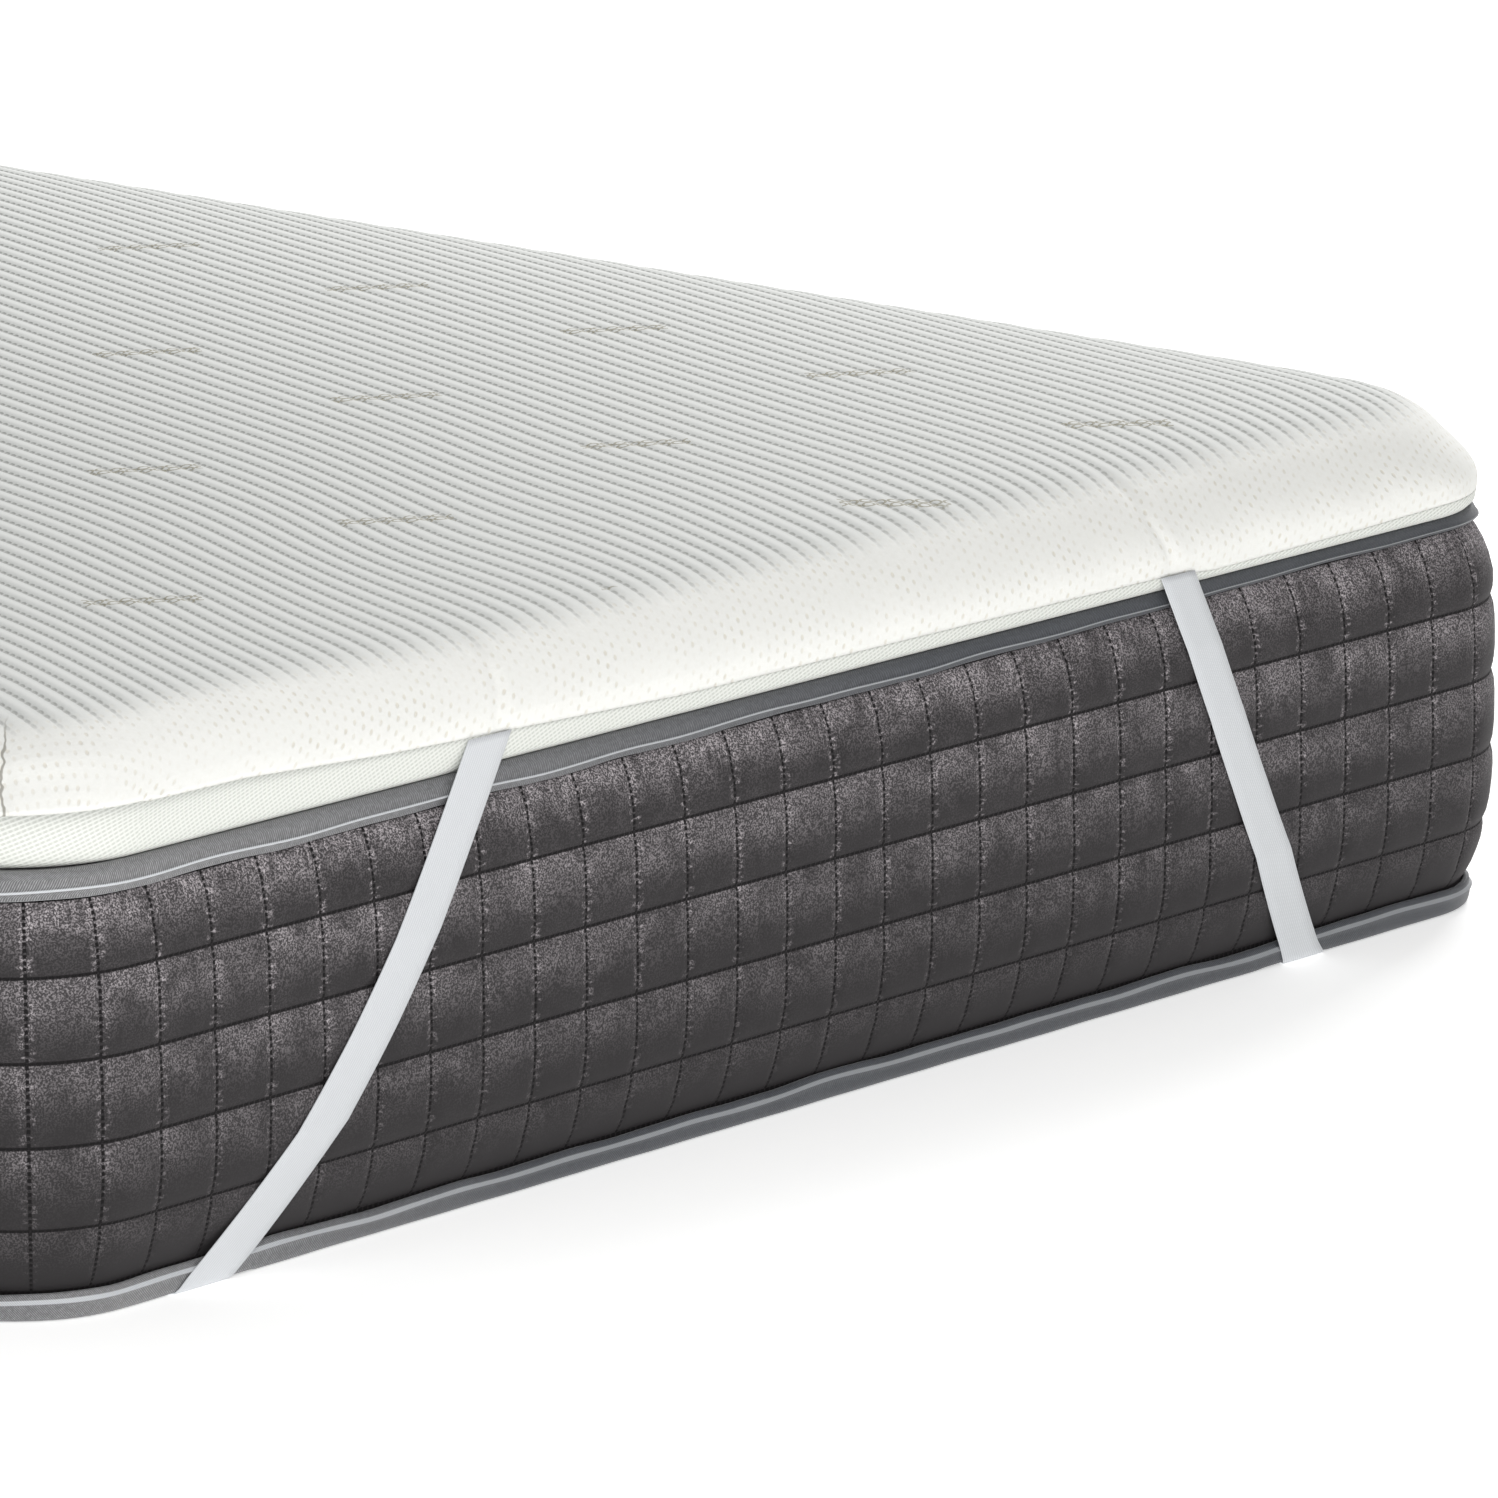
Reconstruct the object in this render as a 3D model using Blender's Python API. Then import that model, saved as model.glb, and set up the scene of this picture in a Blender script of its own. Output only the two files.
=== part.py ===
# Mattress topper on its mattress, held by an elastic strap at each corner.
# Metres, +Z up. The origin is on the floor under the middle of the mattress,
# and the long side of the bed runs along Y.

import math

import bmesh
import bpy
from mathutils import Vector
from mathutils.geometry import delaunay_2d_cdt

# Mattress: a double, 135 by 190 cm and 25 cm thick
WIDTH = 1.350
LENGTH = 1.900
MATTRESS_TOP = 0.2545
CORNER_RADIUS = 0.090
CORNER_STEPS = 8
PLAIN_STEP = 0.40
QUILT_COLUMNS = 147
QUILT_PHASE = 0.0179
STATION_CLEAR = 0.003
SEAM_LEVELS = [0.0168, 0.0545, 0.1020, 0.1495, 0.1970, 0.2380]
SEAM_DEPTH = 0.0035
BORDER_MIDDLE = 0.145
TOP_INSET = 0.0110
BOTTOM_INSET = 0.0194
REBATE_WIDTH = 0.0070
REBATE_DEPTH = 0.0034

# Lengths along the outline, which starts at the left end of the front
SIDE_RUNS = [WIDTH - 2 * CORNER_RADIUS, LENGTH - 2 * CORNER_RADIUS] * 2
CORNER_RUN = CORNER_RADIUS * math.pi / 2
PERIMETER = sum(SIDE_RUNS) + 4 * CORNER_RUN

# Binding tape: its section beside the top edge, as inset from the widest line and depth below the top
TAPE_SECTION = [
    (0.0176, 0.0000),
    (0.0101, 0.0005),
    (0.0076, 0.0040),
    (0.0066, 0.0115),
    (0.0078, 0.0130),
    (0.0084, 0.0157),
    (0.0106, 0.0157),
    (0.0106, 0.0030),
    (0.0176, 0.0030),
]
BOTTOM_TAPE_SHIFT = 0.0084
GAP = 0.0003
CLEARANCE = 0.0004

# Topper: a foam pad in a ribbed knit cover, closed below by a spacer mesh panel
TOPPER_BASE = MATTRESS_TOP + GAP
TOPPER_EDGE = 0.0715
TOPPER_CROWN = 0.0785
CROWN_REACH = 0.060
# Sections of the mesh panel's turned-up edge and of the pad's seat in it: inset, height above
# the topper's base, and share of the seam's height
TRAY_OUTSIDE = [
    (0.0200, 0.0000, 0.0),
    (0.0130, 0.0010, 0.0),
    (0.0105, 0.0045, 0.0),
    (0.0100, 0.0000, 1.0),
]
TRAY_INSIDE = [
    (0.0125, 0.0000, 1.0),
    (0.0130, 0.0055, 0.0),
    (0.0152, 0.0035, 0.0),
    (0.0205, 0.0025, 0.0),
]
PAD_SEAT = [
    (0.0210, 0.0029, 0.0),
    (0.0156, 0.0039, 0.0),
    (0.0134, 0.0058, 0.0),
    (0.0129, 0.0004, 1.0),
    (0.0104, 0.0004, 1.0),
]
# Height of the knit and mesh seam over the base, by distance from the left end of each side
SEAM_TABLES = [
    [(0.0, 0.0300), (0.17, 0.0285), (0.29, 0.0220), (0.54, 0.0130), (0.90, 0.0105), (1.35, 0.0080)],
    [(0.0, 0.0080), (0.60, 0.0120), (1.20, 0.0170), (1.90, 0.0150)],
    [(0.0, 0.0150), (0.50, 0.0110), (0.95, 0.0160), (1.35, 0.0220)],
    [(0.0, 0.0220), (0.55, 0.0160), (1.30, 0.0200), (1.90, 0.0300)],
]
# Height above the topper's base against inset from the mattress's widest line
KNIT_PROFILE = [
    (0.000, 0.0105),
    (0.010, 0.0085),
    (0.025, 0.0080),
    (0.035, 0.0115),
    (0.045, 0.0180),
    (0.055, 0.0265),
    (0.0625, 0.0380),
    (0.068, 0.0530),
    (TOPPER_EDGE, 0.0730),
]
KNIT_RINGS = [0.040, 0.050, 0.059, 0.066, TOPPER_EDGE]
SIDE_WAVE = 0.0010
SIDE_WAVE_TURN = 2.3
SIDE_WAVE_FADE = 0.020
# The topper's own corners are rounder than the mattress's, most of all at its top, and slope off
TOPPER_ROUNDER = 0.010
TOP_ROUNDER = 0.024
ROUNDER_START = 0.015
ROUNDER_RISE = 0.035
CORNER_DROP = 0.004
CORNER_DROP_START = 0.030
CORNER_DROP_REACH = 0.110
# Ribs of the knit: crest to crest across the bed, and how far they lean to the right going back
RIB_PITCH = 0.0142
RIB_HEIGHT = 0.0016
RIB_LEAN = 0.335
RIB_MARGIN = 0.085
RIB_FADE = 0.030
RIB_STEP = 0.45
RIB_SAMPLES = 400

# Straps: 30 mm elastic, by distance from the corner of the bed
STRAP_WIDTH = 0.030
STRAP_THICKNESS = 0.0012
STRAP_ROW = 0.030
STRAP_TURN = 0.022
UNDERSIDE_LEAN = 1.0
LEAN_STEP = 0.001
GROOVE_DEPTH = 0.0020
GROOVE_MARGIN = 0.003
GROOVE_REACH = 0.050
LEFT_STRAP = {"top": 0.380, "bottom": 0.163, "lean": 0.68, "foot_lean": 0.98}
RIGHT_STRAP = {"top": 0.361, "bottom": 0.235, "lean": 0.37, "foot_lean": 0.66}


def clear_scene():
    for item in list(bpy.data.objects):
        bpy.data.objects.remove(item)


def cloth(name, colour, roughness):
    material = bpy.data.materials.new(name)
    material.use_nodes = True
    shader = material.node_tree.nodes["Principled BSDF"]
    shader.inputs["Base Color"].default_value = (*colour, 1.0)
    shader.inputs["Roughness"].default_value = roughness
    shader.inputs["Metallic"].default_value = 0.0
    return material


def finish(bm, name, material):
    bmesh.ops.recalc_face_normals(bm, faces=bm.faces)
    mesh = bpy.data.meshes.new(name)
    bm.to_mesh(mesh)
    bm.free()
    mesh.materials.append(material)
    item = bpy.data.objects.new(name, mesh)
    bpy.context.collection.objects.link(item)
    return item


def blend(a, b, share):
    return a + (b - a) * share


def table_value(table, x):
    """The value at x of a table of (x, value) rows, straight between them."""
    for (x0, v0), (x1, v1) in zip(table, table[1:]):
        if x <= x1:
            return blend(v0, v1, max(0.0, (x - x0) / (x1 - x0)))
    return table[-1][1]


def smooth(x):
    x = min(1.0, max(0.0, x))
    return x * x * (3.0 - 2.0 * x)


# Plan of the bed: stations go round it anticlockwise, from the left end of its front
class Station:
    """A place on the outline: the point its corner arc turns about and its outward direction there,
    the height of the knit and mesh seam, whether it belongs to a corner's arc, and whether the
    quilted columns and the plain pieces use it."""

    def __init__(self, run, column=False, plain=False):
        x, y = SIDE_RUNS[0] / 2, SIDE_RUNS[1] / 2
        centres = [Vector((-x, -y)), Vector((x, -y)), Vector((x, y)), Vector((-x, y))]
        side = 0
        left = run % PERIMETER
        while left >= SIDE_RUNS[side] + CORNER_RUN - 1e-9:
            left -= SIDE_RUNS[side] + CORNER_RUN
            side += 1
        share = min(1.0, max(0.0, left / SIDE_RUNS[side]))
        turn = max(0.0, left - SIDE_RUNS[side]) / CORNER_RUN
        angle = math.radians(90 * (side - 1 + turn))
        distance = CORNER_RADIUS * (1.0 + min(1.0, turn)) + share * SIDE_RUNS[side]
        self.anchor = centres[side].lerp(centres[(side + 1) % 4], share)
        self.normal = Vector((math.cos(angle), math.sin(angle)))
        self.seam = seam_height(side, distance)
        self.arc = share in (0.0, 1.0)
        self.run = run
        self.column = column
        self.plain = plain

    def point(self, inset, z):
        place = self.anchor + self.normal * (CORNER_RADIUS - inset)
        return Vector((place.x, place.y, z))


def seam_height(side, distance):
    return table_value(SEAM_TABLES[side], distance)


def make_stations():
    """Stations at every quilting column, and where plain pieces have a section."""
    plain = []
    start = 0.0
    for side in SIDE_RUNS:
        steps = math.ceil(side / PLAIN_STEP)
        plain += [start + side * i / steps for i in range(steps)]
        start += side
        plain += [start + CORNER_RUN * i / CORNER_STEPS for i in range(CORNER_STEPS)]
        start += CORNER_RUN
    columns = [(QUILT_PHASE + PERIMETER * i / QUILT_COLUMNS) % PERIMETER for i in range(QUILT_COLUMNS)]
    stations = []
    for run in plain:
        near = [r for r in columns if abs(r - run) < STATION_CLEAR]
        columns = [r for r in columns if r not in near]
        stations.append(Station(run, column=bool(near), plain=True))
    stations += [Station(run, column=True) for run in columns]
    return sorted(stations, key=lambda s: s.run)


def inset_at(x, y):
    """How far a point of the topper's top lies inside the widest line, rounded as the top is."""
    radius = CORNER_RADIUS + TOPPER_ROUNDER + TOP_ROUNDER
    across = abs(x) - (WIDTH / 2 - radius)
    along = abs(y) - (LENGTH / 2 - radius)
    outside = math.hypot(max(across, 0.0), max(along, 0.0))
    return radius - (outside + min(max(across, along), 0.0))


# Lofted pieces
def add_ring(bm, points):
    return [bm.verts.new(point) for point in points]


def join_rings(bm, ring, other):
    for i in range(len(ring)):
        j = (i + 1) % len(ring)
        bm.faces.new((ring[i], ring[j], other[j], other[i]))


def border_inset(z):
    """Inset of the border's pillow tops: nothing at mid height, drawn in at the tapes."""
    if z > BORDER_MIDDLE:
        return TOP_INSET * ((z - BORDER_MIDDLE) / (SEAM_LEVELS[-1] - BORDER_MIDDLE)) ** 4
    return BOTTOM_INSET * ((BORDER_MIDDLE - z) / (BORDER_MIDDLE - SEAM_LEVELS[0])) ** 4


def quilt_cell(bm, lower, upper, apex):
    """One quilted square: its edge is the stitched outline and its middle stands proud."""
    loop = lower + upper[::-1]
    for i, corner in enumerate(loop):
        bm.faces.new((corner, loop[(i + 1) % len(loop)], apex))


def add_border(bm, stations):
    """The quilted border, and the vertices of its lowest and highest stitch lines."""
    lines = []
    last = len(SEAM_LEVELS) - 1
    for level, z in enumerate(SEAM_LEVELS):
        sewn = 0.0 if level in (0, last) else SEAM_DEPTH
        lines.append(add_ring(bm, [s.point(border_inset(z) + sewn, z) for s in stations]))
    columns = [i for i, s in enumerate(stations) if s.column]
    for start, end in zip(columns, columns[1:] + [columns[0] + len(stations)]):
        span = [i % len(stations) for i in range(start, end + 1)]
        width = (stations[span[-1]].run - stations[span[0]].run) % PERIMETER
        middle = Station(stations[span[0]].run + width / 2)
        for level in range(last):
            z = (SEAM_LEVELS[level] + SEAM_LEVELS[level + 1]) / 2
            apex = bm.verts.new(middle.point(border_inset(z), z))
            quilt_cell(bm, [lines[level][i] for i in span],
                       [lines[level + 1][i] for i in span], apex)
    return lines[0], lines[-1]


def close_edge(bm, stations, line, inset, z_rebate, z_face):
    """From a stitch line round the rebate that holds the binding tape to the flat panel."""
    plain = [i for i, s in enumerate(stations) if s.plain]
    rings = [
        add_ring(bm, [stations[i].point(d, z) for i in plain])
        for d, z in ((inset, z_rebate), (inset + REBATE_WIDTH, z_rebate),
                     (inset + REBATE_WIDTH, z_face))
    ]
    for n, (start, end) in enumerate(zip(plain, plain[1:] + [plain[0] + len(stations)])):
        span = [line[i % len(stations)] for i in range(start, end + 1)]
        bm.faces.new(span + [rings[0][(n + 1) % len(plain)], rings[0][n]])
    join_rings(bm, rings[0], rings[1])
    join_rings(bm, rings[1], rings[2])
    bm.faces.new(rings[2])


def make_mattress(stations, material):
    bm = bmesh.new()
    low, high = add_border(bm, stations)
    close_edge(bm, stations, low, BOTTOM_INSET, REBATE_DEPTH, 0.0)
    close_edge(bm, stations, high, TOP_INSET, MATTRESS_TOP - REBATE_DEPTH, MATTRESS_TOP)
    return finish(bm, "mattress_body", material)


def make_tape(name, stations, section, material):
    """A binding tape: one closed section carried round the bed."""
    bm = bmesh.new()
    loops = [[bm.verts.new(s.point(d, z)) for d, z in section] for s in stations if s.plain]
    for i, loop in enumerate(loops):
        join_rings(bm, loop, loops[(i + 1) % len(loops)])
    return finish(bm, name, material)


def corner_drop(x, y, height):
    """How much lower the topper's rounded edge and top lie towards a corner."""
    distance = math.hypot(WIDTH / 2 - abs(x), LENGTH / 2 - abs(y))
    upper = smooth((height - CORNER_DROP_START) / (TOPPER_EDGE - CORNER_DROP_START))
    return CORNER_DROP * upper * math.exp(-((distance / CORNER_DROP_REACH) ** 2))


def topper_point(station, inset, height):
    """A point of the topper, with its height over its base."""
    place = station.point(inset, TOPPER_BASE + height)
    if station.arc:
        rounder = TOPPER_ROUNDER + TOP_ROUNDER * smooth((height - ROUNDER_START) / ROUNDER_RISE)
        place.x += rounder * (station.normal.x - math.copysign(1.0, place.x))
        place.y += rounder * (station.normal.y - math.copysign(1.0, place.y))
    place.z -= corner_drop(place.x, place.y, height)
    return place


def topper_rings(bm, stations, rows):
    """Rings of points round the topper from rows of inset, height and share of the seam's height."""
    rings = []
    for inset, height, share in rows:
        points = [topper_point(s, inset, height + share * s.seam) for s in stations]
        rings.append(add_ring(bm, points))
    return rings


def make_base_mesh(stations, material):
    """The spacer mesh panel under the pad, turned up round it to the seam."""
    bm = bmesh.new()
    rings = topper_rings(bm, [s for s in stations if s.plain], TRAY_OUTSIDE + TRAY_INSIDE)
    for ring, other in zip(rings, rings[1:]):
        join_rings(bm, ring, other)
    bm.faces.new(rings[0])
    bm.faces.new(rings[-1])
    return finish(bm, "topper_base_mesh", material)


def crown_height(inset):
    """Height of the pad's top over the mattress, inside its rounded edge."""
    rise = TOPPER_CROWN - TOPPER_EDGE
    return TOPPER_EDGE + rise * (1.0 - math.exp(-(inset - KNIT_PROFILE[-1][1]) / CROWN_REACH))


def rib_lines():
    """Crests and valleys of the knit's ribs in plan, each a list of (x, y) with its sign."""
    slope = Vector((RIB_LEAN, 1.0))
    direction = slope.normalized()
    reach = WIDTH / 2 + LENGTH * RIB_LEAN / 2
    count = int(reach / (RIB_PITCH / 2))
    for n in range(-count, count + 1):
        foot = Vector((n * RIB_PITCH / 2, 0.0))
        places = [foot + slope * LENGTH * (i / RIB_SAMPLES - 0.5) for i in range(RIB_SAMPLES + 1)]
        inside = [place for place in places if inset_at(*place) >= RIB_MARGIN]
        run = (inside[-1] - inside[0]).length if inside else 0.0
        if run < 4 * RIB_FADE:
            continue
        stops = [0.0, RIB_FADE, run - RIB_FADE, run]
        between = int(run / RIB_STEP)
        stops += [run * k / (between + 1) for k in range(1, between + 1)]
        yield [inside[0] + direction * s for s in sorted(stops)], 1 if n % 2 else -1


def pad_top(bm, edge):
    """The ribbed top panel inside the pad's rounded edge."""
    coords = [Vector((v.co.x, v.co.y)) for v in edge]
    signs = [0] * len(edge)
    bounds = [(i, (i + 1) % len(edge)) for i in range(len(edge))]
    for line, sign in rib_lines():
        first = len(coords)
        coords += line
        signs += [sign] * len(line)
        bounds += [(first + i, first + i + 1) for i in range(len(line) - 1)]
    places, _, faces, sources, _, _ = delaunay_2d_cdt(coords, bounds, [], 1, 1e-6)
    verts = []
    for place, source in zip(places, sources):
        if source and min(source) < len(edge):
            verts.append(edge[min(source)])
            continue
        inset = inset_at(*place)
        rib = signs[min(source)] * RIB_HEIGHT / 2 * smooth((inset - RIB_MARGIN) / RIB_FADE)
        z = TOPPER_BASE + crown_height(inset) - corner_drop(*place, TOPPER_EDGE) + rib
        verts.append(bm.verts.new((place.x, place.y, z)))
    for face in faces:
        bm.faces.new([verts[i] for i in face])


def make_pad(stations, material):
    """The foam pad in its knit cover, seated in the mesh panel and rounded over at its edge."""
    plain = [s for s in stations if s.plain]
    bm = bmesh.new()
    rings = topper_rings(bm, plain, PAD_SEAT)
    heights = [[blend(s.seam, KNIT_RINGS[0], 0.5) for s in plain]]
    heights += [[z] * len(plain) for z in KNIT_RINGS]
    for level in heights:
        points = []
        for n, (s, z) in enumerate(zip(plain, level)):
            fade = smooth((TOPPER_EDGE - z) / SIDE_WAVE_FADE)
            wave = SIDE_WAVE * math.sin(SIDE_WAVE_TURN * n) * fade
            points.append(topper_point(s, table_value(KNIT_PROFILE, z) + wave, z))
        rings.append(add_ring(bm, points))
    for ring, other in zip(rings, rings[1:]):
        join_rings(bm, ring, other)
    bm.faces.new(rings[0])
    pad_top(bm, rings[-1])
    return finish(bm, "topper_pad", material)


# Straps
def taut_line(points):
    """The convex line that a taut band takes over (inset, z) points, from the top down."""
    line = []
    for point in sorted(points, key=lambda p: -p[1]):
        while len(line) > 1:
            (d0, z0), (d1, z1) = line[-2], line[-1]
            turn = (d1 - d0) * (point[1] - z0) - (z1 - z0) * (point[0] - d0)
            if turn > 0:
                break
            line.pop()
        line.append(point)
    return line


def strap_section(seam):
    """Inner and outer lines of a strap down the bed's side, as (inset, z) rows."""
    bend, rim = TRAY_OUTSIDE[2:]
    obstacles = [(rim[0], TOPPER_BASE + seam), (bend[0], TOPPER_BASE + seam / 2)]
    obstacles += [(d, MATTRESS_TOP - drop) for d, drop in TAPE_SECTION[1:4]]
    for low, high in zip(SEAM_LEVELS, SEAM_LEVELS[1:]):
        z = (low + high) / 2
        obstacles.append((border_inset(z), z))
    obstacles += [(d + BOTTOM_TAPE_SHIFT, drop) for d, drop in TAPE_SECTION[2:4]]
    foot_edge = table_value([(drop, d) for d, drop in TAPE_SECTION[1:3]], GROOVE_DEPTH)
    obstacles.append((foot_edge + BOTTOM_TAPE_SHIFT, GROOVE_DEPTH))
    line = [(d - CLEARANCE, z) for d, z in taut_line(obstacles)]
    foot = GROOVE_DEPTH - CLEARANCE
    line[-1] = (line[-1][0], foot)
    line.append((STRAP_TURN, foot))
    rows = [line[0]]
    for start, end in zip(line, line[1:]):
        parts = math.ceil(math.dist(start, end) / STRAP_ROW)
        for k in range(1, parts + 1):
            rows.append(tuple(blend(a, b, k / parts) for a, b in zip(start, end)))
    outer = []
    for i, row in enumerate(rows):
        before = rows[max(i - 1, 0)]
        after = rows[min(i + 1, len(rows) - 1)]
        into = Vector(row) - Vector(before) if i else Vector(after) - Vector(row)
        out = Vector(after) - Vector(row) if i < len(rows) - 1 else into
        sides = [Vector((v.y, -v.x)).normalized() for v in (into, out)]
        mitre = (sides[0] + sides[1]).normalized()
        outer.append(Vector(row) + mitre * STRAP_THICKNESS / mitre.dot(sides[0]))
    return rows, outer


def strap_centre(shape, t, foot_run, end_run):
    """Distance from the corner at run t down the side: it leans more to the corner as it falls."""
    foot = (foot_run, shape["bottom"], -shape["foot_lean"])
    if t <= foot_run:
        a, b = (0.0, shape["top"], -shape["lean"]), foot
    else:
        end = shape["bottom"] - (end_run - foot_run) * (shape["foot_lean"] + UNDERSIDE_LEAN) / 2
        a, b = foot, (end_run, end, -UNDERSIDE_LEAN)
    span = b[0] - a[0]
    u = (t - a[0]) / span
    return ((2 * u**3 - 3 * u**2 + 1) * a[1] + (u**3 - 2 * u**2 + u) * span * a[2]
            + (3 * u**2 - 2 * u**3) * b[1] + (u**3 - u**2) * span * b[2])


def strap_side(shape, seam):
    """Rows of a strap on one side of the bed: each is its near and far distance from the corner,
    with the inset and z of its inner and outer faces."""
    inner, outer = strap_section(seam)
    runs = [0.0]
    for start, end in zip(inner, inner[1:]):
        runs.append(runs[-1] + math.dist(start, end))
    lowest = min(i for i, (_, z) in enumerate(inner) if z < TAPE_SECTION[3][1])
    ends = (runs[lowest], runs[-1])
    rows = []
    for run, inside, outside in zip(runs, inner, outer):
        centre = strap_centre(shape, run, *ends)
        ahead = min(run + LEAN_STEP, runs[-1])
        behind = max(run - LEAN_STEP, 0.0)
        rise = strap_centre(shape, ahead, *ends) - strap_centre(shape, behind, *ends)
        lean = rise / (ahead - behind) if run < runs[-1] else UNDERSIDE_LEAN
        half = STRAP_WIDTH / 2 * math.hypot(1.0, lean)
        rows.append((centre - half, centre + half, inside, outside))
    return rows


def place_row(row, corner, along_x):
    """A strap row's four points on one side of a corner of the bed, round the strap's section."""
    near, far, inner, outer = row
    points = []
    for distance, (inset, z) in ((near, inner), (far, inner), (far, outer), (near, outer)):
        x, y = (distance, inset) if along_x else (inset, distance)
        points.append(Vector((corner[0] * (WIDTH / 2 - x), corner[1] * (LENGTH / 2 - y), z)))
    return points


def make_strap(name, end_rows, long_rows, corner, material):
    """One elastic: down the end of the bed, under its corner and up the long side."""
    sections = [place_row(row, corner, True) for row in end_rows]
    sections += [place_row(row, corner, False) for row in reversed(long_rows)]
    bm = bmesh.new()
    loops = [add_ring(bm, section) for section in sections]
    for loop, other in zip(loops, loops[1:]):
        join_rings(bm, loop, other)
    bm.faces.new(loops[0])
    bm.faces.new(loops[-1])
    return finish(bm, name, material)


def make_grooves(bands, material):
    """Cutter: the shallow bands that the straps press into the mattress's underside."""
    bm = bmesh.new()
    for corner, near, far in bands:
        # A band runs at 45 degrees, so along it the sum of the two distances stays the same
        near += STRAP_TURN - GROOVE_MARGIN * math.sqrt(2) + GROOVE_REACH
        far += STRAP_TURN + GROOVE_MARGIN * math.sqrt(2) + GROOVE_REACH
        plan = [(near, -GROOVE_REACH), (-GROOVE_REACH, near), (-GROOVE_REACH, far), (far, -GROOVE_REACH)]
        rings = []
        for z in (-GROOVE_DEPTH, GROOVE_DEPTH):
            points = [(corner[0] * (WIDTH / 2 - x), corner[1] * (LENGTH / 2 - y), z) for x, y in plan]
            rings.append(add_ring(bm, points))
        join_rings(bm, rings[0], rings[1])
        bm.faces.new(rings[0])
        bm.faces.new(rings[1])
    cutter = finish(bm, "groove_cutter", material)
    cutter.hide_render = True
    cutter.display_type = "WIRE"
    return cutter


def cut(item, cutter):
    modifier = item.modifiers.new("grooves", "BOOLEAN")
    modifier.operation = "DIFFERENCE"
    modifier.solver = "EXACT"
    modifier.object = cutter


def main():
    clear_scene()
    knit = cloth("ribbed knit", (0.80, 0.81, 0.78), 0.85)
    mesh = cloth("spacer mesh", (0.86, 0.87, 0.83), 0.80)
    elastic = cloth("white elastic", (0.80, 0.82, 0.86), 0.60)
    border = cloth("mattress border cloth", (0.075, 0.068, 0.070), 0.45)
    binding = cloth("binding tape", (0.13, 0.13, 0.14), 0.40)

    stations = make_stations()
    mattress = make_mattress(stations, border)
    top_tape = [(d, MATTRESS_TOP - drop) for d, drop in TAPE_SECTION]
    bottom_tape = [(d + BOTTOM_TAPE_SHIFT, GAP + drop) for d, drop in TAPE_SECTION]
    make_tape("mattress_top_tape", stations, top_tape, binding)
    low_tape = make_tape("mattress_bottom_tape", stations, bottom_tape, binding)
    make_base_mesh(stations, mesh)
    make_pad(stations, knit)

    bands = []
    for side, name, shape, corner in (
        (0, "strap_front_left", LEFT_STRAP, (-1, -1)),
        (1, "strap_front_right", RIGHT_STRAP, (1, -1)),
        (2, "strap_back_right", RIGHT_STRAP, (1, 1)),
        (3, "strap_back_left", LEFT_STRAP, (-1, 1)),
    ):
        # Side n starts at corner n and side n - 1 ends there; sides 0 and 2 are the bed's ends
        ending = (LENGTH, WIDTH)[side % 2] - shape["top"]
        starts = strap_side(shape, seam_height(side, shape["top"]))
        finishes = strap_side(shape, seam_height(side - 1, ending))
        end_rows, long_rows = (finishes, starts) if side % 2 else (starts, finishes)
        make_strap(name, end_rows, long_rows, corner, elastic)
        near, far = end_rows[-1][:2]
        bands.append((corner, near, far))
    cutter = make_grooves(bands, border)
    cut(mattress, cutter)
    cut(low_tape, cutter)


main()
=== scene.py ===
# %% [markdown]
# A foam mattress topper in a ribbed knit cover, strapped onto a plain quilted mattress.
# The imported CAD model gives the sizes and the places. This lesson dresses it: every cloth piece is
# made again with its folds, ribs, seams and weave, and stands where its CAD solid stands.

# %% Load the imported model
import math
from functools import partial

import bpy
import numpy as np
from mathutils import Matrix, Vector
from mathutils.geometry import delaunay_2d_cdt


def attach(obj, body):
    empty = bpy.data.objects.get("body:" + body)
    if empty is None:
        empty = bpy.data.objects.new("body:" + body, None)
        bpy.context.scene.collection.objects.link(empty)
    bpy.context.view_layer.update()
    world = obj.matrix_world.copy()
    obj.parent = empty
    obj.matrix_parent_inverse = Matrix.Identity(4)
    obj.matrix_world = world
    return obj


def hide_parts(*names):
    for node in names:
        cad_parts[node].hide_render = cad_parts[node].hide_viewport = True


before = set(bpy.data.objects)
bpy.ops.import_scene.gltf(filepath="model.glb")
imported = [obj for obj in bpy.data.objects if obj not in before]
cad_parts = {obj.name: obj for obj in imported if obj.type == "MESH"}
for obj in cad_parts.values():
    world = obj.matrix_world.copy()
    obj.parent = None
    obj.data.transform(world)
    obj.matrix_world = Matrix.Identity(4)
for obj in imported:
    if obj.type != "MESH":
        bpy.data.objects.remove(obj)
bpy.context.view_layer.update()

for item in bpy.context.selected_objects:
    item.select_set(False)
print("nodes:", sorted(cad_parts))

# %% [markdown]
# The bed's plan is a rectangle with round corners. A place on it is given by the run: the way round
# the outline in metres, from the left end of the front's straight stretch, seen from above
# anticlockwise. Everything sewn round the bed, such as a tape or a quilted border, follows that run.

# %% Sizes of the bed, in metres, as in the CAD model
WIDTH = 1.350
LENGTH = 1.900
MATTRESS_TOP = 0.2545
CORNER_RADIUS = 0.090
SIDE_RUNS = [WIDTH - 2 * CORNER_RADIUS, LENGTH - 2 * CORNER_RADIUS] * 2
CORNER_RUN = CORNER_RADIUS * math.pi / 2
PERIMETER = sum(SIDE_RUNS) + 4 * CORNER_RUN
SIDE_STARTS = np.cumsum([0.0] + [side + CORNER_RUN for side in SIDE_RUNS])[:4]
TOPPER_BASE = MATTRESS_TOP + 0.0003
print("outline:", round(PERIMETER, 4), "m")


# %% Points of the outline
def smooth(x):
    x = np.clip(x, 0.0, 1.0)
    return x * x * (3.0 - 2.0 * x)


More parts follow.
